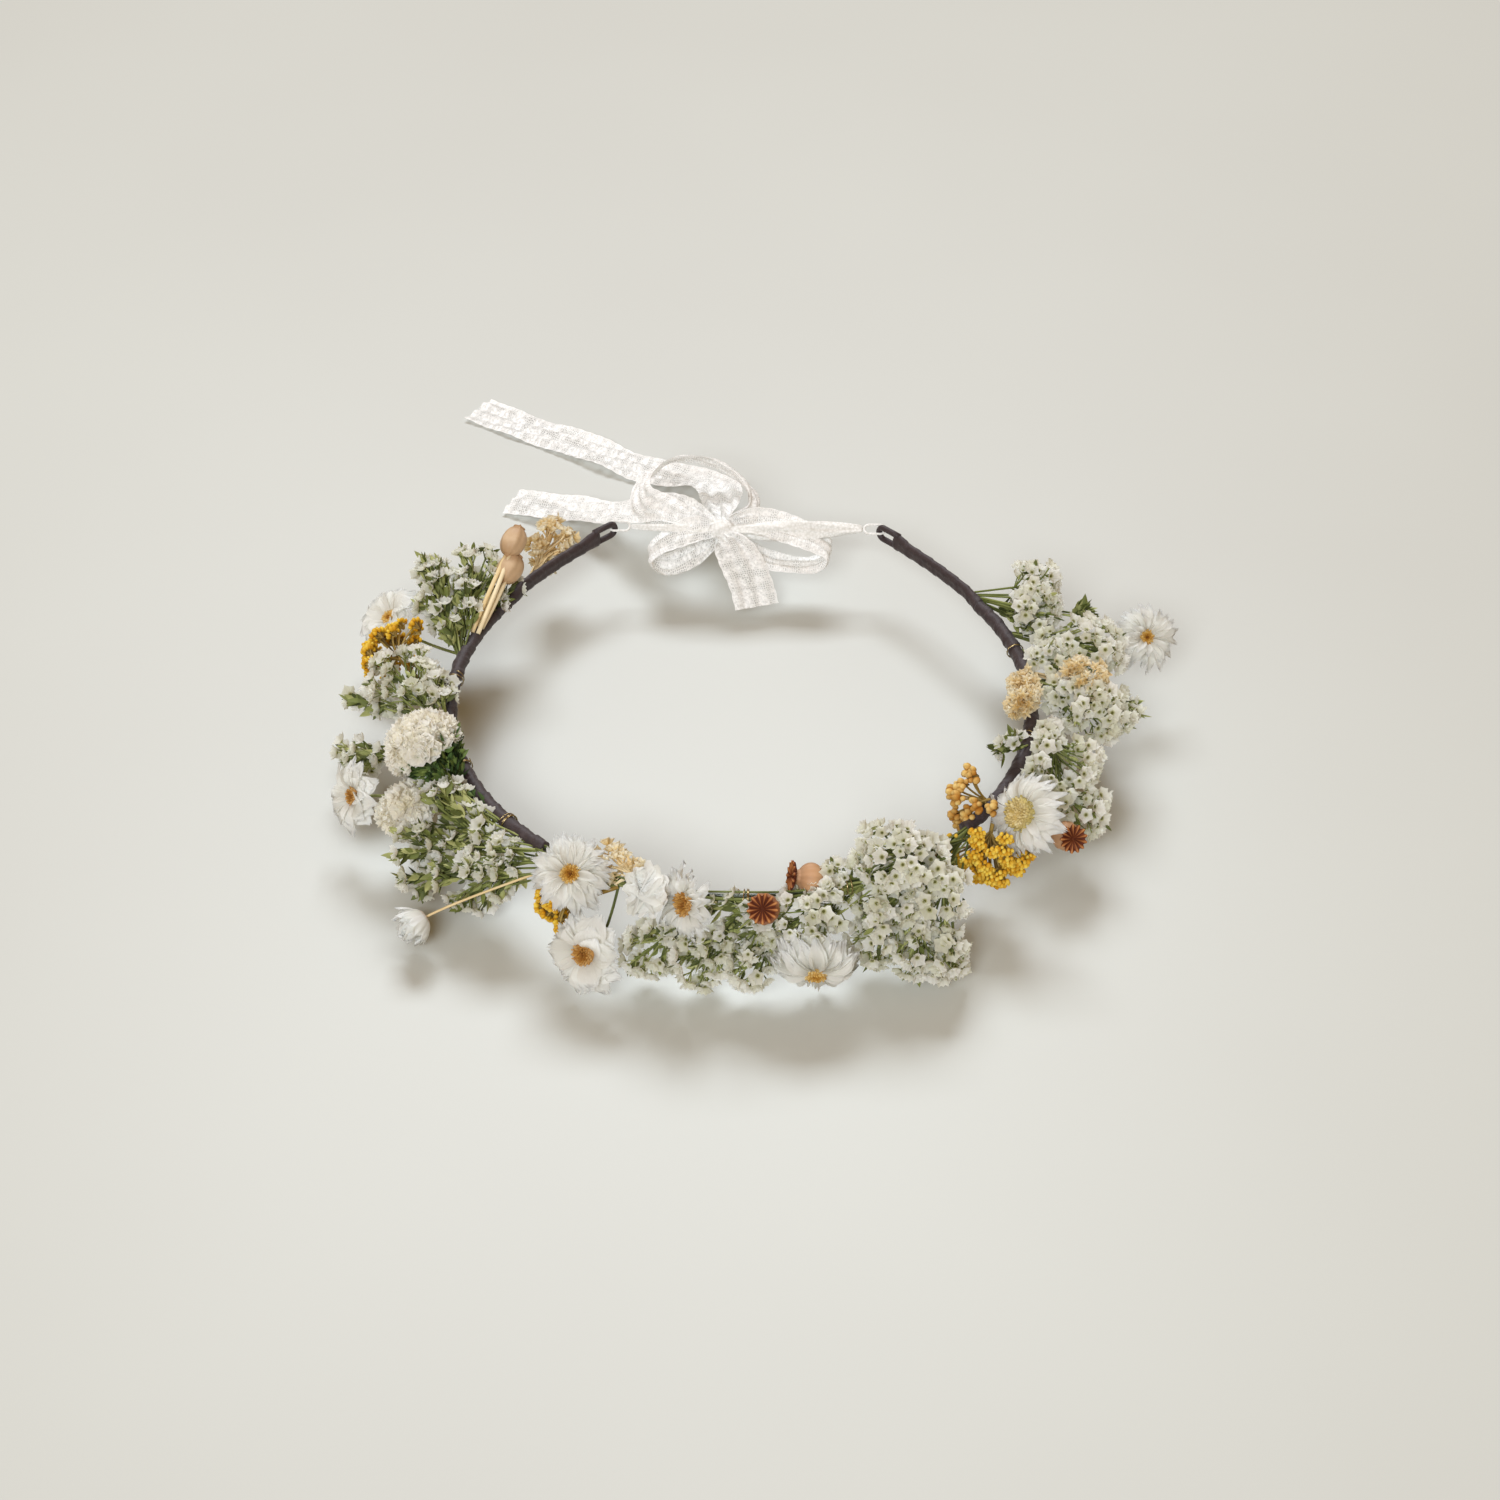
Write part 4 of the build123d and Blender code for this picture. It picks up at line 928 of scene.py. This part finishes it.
# ---- yarrow --------------------------------------------------------------------------------------
# Flat heads of dried yarrow: many tiny golden knobs, crowded in small domed bunches on twigs that
# all end near one level.
# Dried yarrow: matt and mealy, strong gold, or buff where the head was picked in bud.
GOLD_TONES = [(0.0, "b8860f"), (0.4, "ecc030"), (1.0, "fbe36c")]
BUFF_TONES = [(0.0, "a8742c"), (0.5, "d9aa54"), (1.0, "f2d78e")]
yarrow_gold = dry_petal("dried yarrow knob", GOLD_TONES, "e2bc54", 0.85, 0.1)
yarrow_buff = dry_petal("dried pale yarrow knob", BUFF_TONES, "cfa866", 0.85, 0.1)
yarrow_stem = dried_stem("dried yarrow stem", "5c4a1e", "93762f", "bda15a")
# name: angle, out and up of the head, its radius and depth, the root's angle, bunches, knobs in
# each, the bunch's radius and the material
UMBELS = {
    "yarrow_left": (171, 27.5, 7, 12.5, 10, 184, 26, 18, 2.4, yarrow_gold),
    "yarrow_front_left": (236.8, 13.5, -10, 8.5, 9, 249, 20, 16, 2.1, yarrow_gold),
    "yarrow_right": (315.6, 11, -11, 12.5, 14, 327, 38, 18, 2.5, yarrow_gold),
    "yarrow_buds_right": (319.5, -6, 6, 10, 11, 329, 13, 6, 2.2, yarrow_buff),
}
for number, (name, values) in enumerate(UMBELS.items()):
    angle, out, up, radius, depth, root, bunches, each, bunch_radius, material = values
    draw = np.random.default_rng(500 + number)
    start, head = root_place(root), on_ring(angle, out, up)
    way = unit(head - start)
    index = np.arange(bunches) + 0.5
    share, spin = np.sqrt(index / bunches), GOLDEN_TURN * index + draw.normal(0, 0.3, bunches)
    height = -0.7 * radius * share**2 + draw.normal(0, 0.09 * radius, bunches) - 1.2
    tops = np.stack([radius * share * np.cos(spin), radius * share * np.sin(spin), height], -1)
    owner = np.repeat(np.arange(bunches), each)
    order = np.tile(np.arange(each) + 0.5, bunches)
    dome, turn = np.sqrt(order / each), GOLDEN_TURN * order + owner
    local = np.stack([dome * np.cos(turn), dome * np.sin(turn), 0.7 * (1 - dome**2)], -1)
    spots = tops[owner] + bunch_radius * local + draw.normal(0, 0.15, (len(owner), 3))
    sizes = bunch_radius * 1.1 / np.sqrt(each) * draw.uniform(0.8, 1.25, (len(owner), 1))
    sizes = sizes * np.array([1, 1, 1.35])
    ways = local * [0.8, 0.8, 0] + [0, 0, 1.0]
    beads = placed(bead_template(6, 8), facing(ways, turn), sizes, spots)
    knob_v = np.linspace(0, 1, 6)[:, None] + 0 * np.arange(8)
    shades = draw.uniform(0, 1, len(owner))
    surfaces = [surface(beads, closed=True, v=knob_v, tint=shades, material=1)]
    forks = tops * [0.35, 0.35, 0] + [0, 0, -0.7 * depth]
    twigs = bowed(np.tile([0, 0, -1.15 * depth], (bunches, 1)), forks, tops, 7)
    surfaces.append(tube(twigs, 0.34, 5, draw.uniform(0, 1, bunches)))
    elbows = tops[owner] - [0, 0, 0.6] + 0.3 * bunch_radius * local
    twiglets = bowed(tops[owner] - [0, 0, 1.8], elbows, spots, 3)
    surfaces.append(tube(twiglets, 0.18, 4, draw.uniform(0, 1, len(owner))))
    surfaces = turned_to(surfaces, head, way)
    stalk = bowed(start, 0.5 * (start + head) + draw.normal(0, 0.6, 3), head - way * 0.9 * depth, 9)
    surfaces.append(tube(stalk, 0.7))
    make_piece(f"{name}_head", surfaces, [yarrow_stem, material], "band", "yarrow", name)


# ---- poppy heads and seed urns -------------------------------------------------------------------
# Dried poppy capsules: a round ribbed pot under a flat crown of a dozen rays.  The two urns are
# longer, smooth straw-coloured capsules on pairs of thick straw stems.
CROWN_RAYS = 13


def lathe(profile, columns=48, rib=0.0, ribs=CROWN_RAYS):
    """A surface of revolution about Z through (radius, height) points, its radius ribbed by rib."""
    profile = np.asarray(profile, float)
    fine = np.linspace(0, len(profile) - 1, 4 * len(profile))
    radius, height = (np.interp(fine, np.arange(len(profile)), profile[:, i])[:, None] for i in (0, 1))
    v = np.linspace(0, 2 * np.pi, columns + 1)[None, :-1]
    radius = radius * (1 + rib * np.cos(ribs * v))
    return np.stack([radius * np.cos(v), radius * np.sin(v), height + 0 * v], -1)


def poppy_crown(radius):
    """The crown about Z, with ridges along its rays, a scalloped rim that turns up, and an underside, and with
    painted light for each point: a painted highlight on the ridges that grows towards the rim, and painted shade
    over the whole underside."""
    u = np.linspace(0, 1, 9)[:, None]
    v = np.linspace(0, 2 * np.pi, 8 * CROWN_RAYS + 1)[None, :-1]
    ray = 0.5 + 0.5 * np.cos(CROWN_RAYS * v)
    reach = radius * u * (1 - 0.2 * (1 - ray) * u**3)
    top = 0.2 * radius * ray**2 * np.sin(np.pi * np.clip(u * 0.9 + 0.05, 0, 1)) + 0.2 * radius * u**3
    upper = np.stack([reach * np.cos(v), reach * np.sin(v), top + 0.35], -1)
    under = np.stack([reach * np.cos(v), reach * np.sin(v), 0.2 * radius * u**3 - 0.25 + 0 * v], -1)
    painted_light = ray**1.2 * (0.35 + 0.65 * u)
    return np.concatenate([under, upper[::-1]]), np.concatenate([0 * painted_light, painted_light[::-1]])


# Dried poppy capsules: thin hard shells, satin, tan to pinkish brown, under a red-brown crown whose tones run from
# painted shade on its underside to a painted highlight on its ridges.
TAN_TONES = [(0.0, "8c5a3c"), (0.5, "c48f68"), (1.0, "9c6444")]
PINK_TONES = [(0.0, "96744f"), (0.5, "c9a17c"), (1.0, "bb9370")]
CROWN_TONES = [(0.0, "5a2814"), (0.45, "8a4a26"), (1.0, "d99c5c")]
capsule_tan = dry_petal("dried poppy capsule", TAN_TONES, "a37b66", 0.5, 0.0)
capsule_pink = dry_petal("dried pale poppy capsule", PINK_TONES, "dcc8b0", 0.5, 0.0)
crown_skin = dry_petal("dried poppy crown", CROWN_TONES, "b08c76", 0.6, 0.0)
# name: angle, out and up of the crown's middle, radius, the way that it faces, the root's angle
POPPIES = {
    "poppy_head_front": (274.7, 12, 6, 4.7, 264, 44, 288, capsule_tan),
    "poppy_head_inner": (281, -4, 3, 4.8, 186, 14, 298, capsule_pink),
    "poppy_head_right": (330, 26, -6, 4.6, 292, 30, 340, capsule_pink),
}
for name, (angle, out, up, radius, azimuth, elevation, root, material) in POPPIES.items():
    crown_top, way = on_ring(angle, out, up), heading(azimuth, elevation)
    height = 2.1 * radius
    arc = np.linspace(-0.95, 1.05, 15)
    profile = [(0, 0), (0.3 * radius, 0), (0.34 * radius, 0.25 * radius)]
    profile += [(radius * np.cos(a), 0.5 * height + 0.42 * height * np.sin(a)) for a in arc]
    profile += [(0.42 * radius, height), (0, height)]
    # ray is the crown's painted light: painted shade on its underside and a painted highlight on its ridges.
    crown, ray = poppy_crown(radius)
    surfaces = [surface(lathe(profile, rib=0.025), closed=True)]
    surfaces.append(surface(crown + np.array([0, 0, height]), closed=True, v=ray, material=1))
    base = crown_top - way * (height + 0.8)
    surfaces = turned_to(surfaces, base, way)
    line = bowed(root_place(root), base - way * 5, base + way, 10)
    surfaces.append(tube(line, 0.8, 8, 0.6, 2))
    make_piece(f"{name}_capsule", surfaces, [material, crown_skin, straw_stem], "band", "poppy", name)

# Dried seed urns: thin straw-coloured shells with a satin surface, browner at both ends.
URN_TONES = [(0.0, "b8946c"), (0.45, "dcc3a2"), (1.0, "b59068")]
urn_skin = dry_petal("dried straw seed urn", URN_TONES, "cdb698", 0.5, 0.05)
# name: angle, out and up of the base, radius and height, the root's angle
URNS = {
    "seed_urn_lower": (149.8, 0.4, 9, 4.5, 12.0, 160),
    "seed_urn_upper": (146.3, 2.4, 15.5, 4.3, 12.0, 162),
}
for name, (angle, out, up, radius, height, root) in URNS.items():
    start, base = on_ring(root, 0, 2.0), on_ring(angle, out, up)
    way = unit(base - start)
    arc = np.linspace(-1.3, 1.15, 15)
    profile = [(0, 0), (0.2 * radius, 0)]
    profile += [(radius * np.cos(a) ** 0.9, (0.5 + 0.46 * np.sin(a)) * height) for a in arc]
    profile += [(r * radius, h * height) for r, h in ((0.46, 0.94), (0.5, 0.97), (0.2, 1.0), (0, 1.08))]
    surfaces = turned_to([surface(lathe(profile, rib=0.035, ribs=6), closed=True)], base, way)
    side = unit(np.cross(way, [0, 0, 1.0]))
    pair = np.array([[-1.0], [1.0]]) * side
    lines = bowed(start + pair, 0.5 * (start + base) + 1.3 * pair, base + way * 1.5 + 0.6 * pair, 8)
    surfaces.append(tube(lines, 0.8, 8, [0.5, 0.9], 1))
    make_piece(f"{name}_capsule", surfaces, [urn_skin, straw_stem], "band", "seed_urn", name)


# ---- the lace ribbon -----------------------------------------------------------------------------
# One length of sheer white cotton lace, 15 mm wide, with scalloped edges and small flowers on a
# fine net.  It is threaded through both eyes, gathered into strands and tied in a bow between.
RIBBON_WIDTH = 15.0
KNOT = np.array([RING_CENTRE[0] - 9.0, EYE_RIGHT[1] + 1.0, EYE_RIGHT[2]])

# Cotton lace: matt white thread with open net between its flowers, so the table shows through.
COTTON = {"Roughness": 0.8, "Sheen Weight": 0.2, "Subsurface Weight": 0.2, "Subsurface Radius": (0.002,) * 3}
FLOWERS = {"Scale": 0.22, "feature": "SMOOTH_F1", "Randomness": 0.35}
MESHES = {"Scale": 1.3, "feature": "DISTANCE_TO_EDGE", "Randomness": 0.45}
lace, lace_shader = new_material("white cotton lace", COTTON)
lace_shader.inputs["Base Color"].default_value = hex_colour("f7f7f4")
place = add_node(lace, "ShaderNodeTexCoord")
flower = add_node(lace, "ShaderNodeTexVoronoi", FLOWERS, {"Vector": (place, "UV")})
petals = add_node(lace, "ShaderNodeTexNoise", {"Scale": 0.9, "Detail": 2.0}, {"Vector": (place, "UV")})
net = add_node(lace, "ShaderNodeTexVoronoi", MESHES, {"Vector": (place, "UV")})
flower_mask = colour_ramp(lace, [(0.34, "ffffff"), (0.58, "000000")], flower, "Distance")
petal_mask = colour_ramp(lace, [(0.36, "c8c8c8"), (0.6, "ffffff")], petals, "Fac")
net_mask = colour_ramp(lace, [(0.06, "e8e8e8"), (0.22, "9c9c9c")], net, "Distance")
motif = blended(lace, "MULTIPLY", (flower_mask, "Color"), (petal_mask, "Color"))
cover = blended(lace, "LIGHTEN", (motif, 2), (net_mask, "Color"))
edge = add_node(lace, "ShaderNodeAttribute", {"attribute_name": "tint"})
whole = add_node(lace, "ShaderNodeMath", {"operation": "MAXIMUM"})
lace.node_tree.links.new(cover.outputs[2], whole.inputs[0])
lace.node_tree.links.new(edge.outputs["Fac"], whole.inputs[1])
lace.node_tree.links.new(whole.outputs["Value"], lace_shader.inputs["Alpha"])
grained(lace, lace_shader, None, (cover, 2), 0.5, 0.0004)


def smooth_line(points, count):
    """A smooth curve through given points, at count even steps: Catmull-Rom spans."""
    points = np.asarray(points, float)
    padded = np.concatenate([2 * points[:1] - points[1:2], points, 2 * points[-1:] - points[-2:-1]])
    t = np.linspace(0, len(points) - 1, 12 * len(points))
    span = np.minimum(t.astype(int), len(points) - 2)
    f = (t - span)[:, None]
    a, b, c, d = (padded[span + i] for i in range(4))
    bend, swing = 2 * a - 5 * b + 4 * c - d, 3 * b - a - 3 * c + d
    line = 0.5 * (2 * b + (c - a) * f + bend * f**2 + swing * f**3)
    walk = np.concatenate([[0], np.cumsum(np.linalg.norm(np.diff(line[:, :3], axis=0), axis=1))])
    even = np.linspace(0, walk[-1], count)
    return np.stack([np.interp(even, walk, line[:, i]) for i in range(line.shape[1])], -1), walk[-1]


def lace_strip(draw, stations, gathered=1.0, ripple=0.5, width=RIBBON_WIDTH):
    """A strip of lace. Each station is the middle's place from the knot, the direction across the
    lace, and how full its width is there. The strip ripples, and its edges are scalloped."""
    stations = np.asarray(stations, float)
    _, length = smooth_line(stations[:, :3], 10)
    count = max(int(length / 1.1), 12)
    line, length = smooth_line(stations, count)
    middle, across, full = line[:, :3] + KNOT, unit(line[:, 3:6]), line[:, 6:7]
    along = np.linspace(0, length, count)[:, None]
    side = np.linspace(-1, 1, 15)[None, :]
    scallop = 1 + 0.05 * np.abs(np.sin(np.pi * along / 4.5)) * (np.abs(side) > 0.9)
    half = width / 2 * side * scallop * full * gathered
    normal = unit(np.cross(across, np.gradient(middle, axis=0)))
    phase = draw.uniform(0, 6, 3)
    crowd = np.clip(1.3 - full, 0, 1)
    wave = np.sin(along / 6 + side * 2 + phase[0]) + 0.6 * np.sin(along / 3.3 - side * 4 + phase[1])
    wave = ripple * wave + 2.2 * crowd * np.sin(side * 9 + along / 9 + phase[2])
    points = middle[:, None] + half[..., None] * across[:, None] + wave[..., None] * normal[:, None]
    points[..., 2] = np.maximum(points[..., 2], 0.25 + 0.12 * np.abs(side))
    uv_u = (side + 1) / 2 * width
    made = list(surface(points, u=uv_u, v=along))
    border = np.clip((np.abs(side) - 0.86) * 12, 0, 1) * 0.9 + 0.35 * crowd
    made[2] = np.clip(border + 0 * along, 0, 1).reshape(-1)
    return tuple(made), length


def lace_piece(name, node, draw, stations, gathered=1.0, ripple=0.5, width=RIBBON_WIDTH):
    """One stretch of the ribbon as a piece."""
    strip, length = lace_strip(draw, stations, gathered, ripple, width)
    piece = make_piece(name, [strip], [lace], "bow", "lace_ribbon", node)


# Stations are x, y and z from the knot, the direction across, and the share of the full width.
TAIL_LONG = [
    (0, 3, 0, 1, 0, 0.4, 0.5), (0, 14, -1, 1, 0.1, 0.4, 0.8), (-1, 30, -7, 1, 0.2, 0.2, 1),
    (-4, 46, -15, 0.95, 0.4, 0, 1), (-14, 56, -20, 0.7, 0.75, 0, 1), (-32, 65, -22, 0.5, 0.86, 0, 1),
    (-54, 78, -22.8, 0.55, 0.83, 0, 1), (-76, 90, -23, 0.57, 0.82, 0, 1), (-97, 102, -23.3, 0.6, 0.8, 0, 1),
]
TAIL_SHORT = [
    (-3, 2, -1, 0.3, 0.6, 0.8, 0.5), (-14, 9, 1, 0.4, 0.8, 0.4, 0.8), (-28, 18, -5, 0.4, 0.9, 0, 1),
    (-44, 29, -15, 0.4, 0.9, 0, 1), (-60, 38, -21, 0.45, 0.9, 0, 1), (-79, 45, -23, 0.35, 0.92, 0, 1),
]
TAIL_FRONT = [
    (1, -3, 0, 0.9, 0, 0.6, 0.5), (4, -7, -1, 1, 0.1, 0.3, 0.85), (8, -12, -6, 1, 0.2, 0.1, 1),
    (11, -16, -12, 1, 0.25, 0, 1), (13, -20, -18, 1, 0.3, 0, 1),
]
LOOP_BACK = [
    (2, 1, 1, 0, 0.4, 0.9, 0.5), (11, 9, 2, -0.3, -0.2, 0.9, 0.7), (8, 23, 3, -0.4, -0.2, 0.9, 0.85),
    (-3, 34, 3, -0.2, -0.6, 0.8, 0.95), (-17, 38, 2, 0.1, -0.7, 0.7, 1), (-28, 30, 0, 0.5, -0.5, 0.7, 1),
    (-29, 18, -1, 0.5, 0, 0.8, 0.9), (-18, 9, -1, 0.3, 0.5, 0.8, 0.8), (-3, 1, -1, 0, 0.5, 0.9, 0.5),
]
LOOP_RIGHT = [
    (2, 0, 1, 0, 0.8, 0.6, 0.5), (12, 1, 3, 0, 1, 0.5, 0.8), (26, -1, 1, 0.1, 1, 0.3, 1),
    (38, -4, -4, 0.2, 1, 0, 1), (33, -7, -9, 0, 1, -0.2, 1),
    (18, -6, -8, 0, 1, 0, 0.9), (5, -2, -3, 0, 0.8, 0.4, 0.5),
]
LOOP_LEFT = [
    (-2, -1, 1, 0, 0.8, 0.6, 0.5), (-10, -2, 1, 0, 1, 0.4, 0.9), (-20, -3, -3, 0, 1, 0, 1),
    (-25, -5, -8, 0, 1, -0.2, 1), (-19, -7, -11, 0, 1, 0, 1),
    (-9, -5, -7, 0, 1, 0.2, 0.8), (-2, -1, -3, 0, 0.8, 0.4, 0.5),
]
draw = np.random.default_rng(900)
lace_piece("ribbon_long_tail_lace", "ribbon_tail_long", draw, TAIL_LONG)
lace_piece("ribbon_short_tail_lace", "ribbon_tail_short", draw, TAIL_SHORT)
lace_piece("ribbon_front_tail_lace", "ribbon_tail_front", draw, TAIL_FRONT)
lace_piece("bow_back_loop_lace", "bow_loop_back", draw, LOOP_BACK, ripple=0.4)
lace_piece("bow_right_loop_lace", "bow_loop_right", draw, LOOP_RIGHT, ripple=0.4, width=12.0)
lace_piece("bow_left_loop_lace", "bow_loop_left", draw, LOOP_LEFT, ripple=0.4, width=12.0)

# Gathered lace has no holes left to see: the same cotton, close and folded.
close_lace, close_shader = new_material("gathered cotton lace", {**COTTON, "Roughness": 0.85})
place = add_node(close_lace, "ShaderNodeTexCoord")
thread = add_node(close_lace, "ShaderNodeTexVoronoi", {"Scale": 1100.0}, {"Vector": (place, "Object")})
tone = colour_ramp(close_lace, [(0.1, "f8f8f6"), (0.9, "dcdcd6")], thread, "Distance")
grained(close_lace, close_shader, (tone, "Color"), (thread, "Distance"), 0.5, 0.0004)


def gathered_strand(start, end, sizes, folds, twist):
    """Gathered ribbon from start to end: a round section whose radius runs through sizes and is
    pleated by folds, which turn about it by twist."""
    t = np.linspace(0, 1, 60)[:, None]
    v = np.linspace(0, 2 * np.pi, 41)[None, :-1]
    way = unit(end - start)
    across, other = facing(way[None], np.zeros(1))[0].T[:2]
    radius = np.interp(t[:, 0], np.linspace(0, 1, len(sizes)), sizes)[:, None]
    radius = radius * (1 + 0.2 * np.cos(folds * v + twist * t) + 0.08 * np.cos(7 * v - 9 * t))
    radius = radius * np.sqrt(np.clip(1 - (2 * t - 1) ** 40, 0, 1))
    middle = start + (end - start) * t
    ring = np.cos(v)[..., None] * across + np.sin(v)[..., None] * other
    return middle[:, None] + radius[..., None] * ring


# name, side, and radii from the eye to the knot
STRANDS = [
    ("ribbon_strand_right", 1, (1.2, 2.4, 3.4, 3.0, 2.0)),
    ("ribbon_strand_left", -1, (0.8, 1.1, 1.3, 1.5)),
]
for name, sign, sizes in STRANDS:
    eye = EYE_RIGHT.copy()
    eye[0] = RING_CENTRE[0] + sign * (EYE_RIGHT[0] - RING_CENTRE[0])
    start = eye + np.array([-sign * 7.2, 1.5, 0.85])
    end = KNOT + np.array([sign * 2.5, 0, 0])
    strand = gathered_strand(start, end, sizes, 3, 4.0)
    make_piece(f"{name}_lace", [surface(strand, closed=True)], [close_lace], "bow", "lace_ribbon", name)

# The knot is a rounded lump along X, with folds that turn about it from end to end.
KNOT_HALF = (5.0, 3.6, 3.9)
t = np.linspace(0, np.pi, 33)[:, None]
v = np.linspace(0, 2 * np.pi, 49)[None, :-1]
folds = 0.1 * np.cos(3 * v + 3 * np.cos(t)) + 0.06 * np.cos(8 * v + 5 * np.cos(t))
girth = np.sin(t) * (1 + folds * np.sin(t))
knot = np.stack([np.cos(t) + 0 * v, girth * np.cos(v), girth * np.sin(v)], -1) * KNOT_HALF
lump = surface(knot[::-1] + KNOT, closed=True)
make_piece("ribbon_knot_lace", [lump], [close_lace], "bow", "lace_ribbon", "ribbon_knot")
# The ribbon's turns through the eyes keep their frame shape.
for socket in frame["nodes"]["ribbon_eye_loops"].material_slots:
    socket.material = close_lace
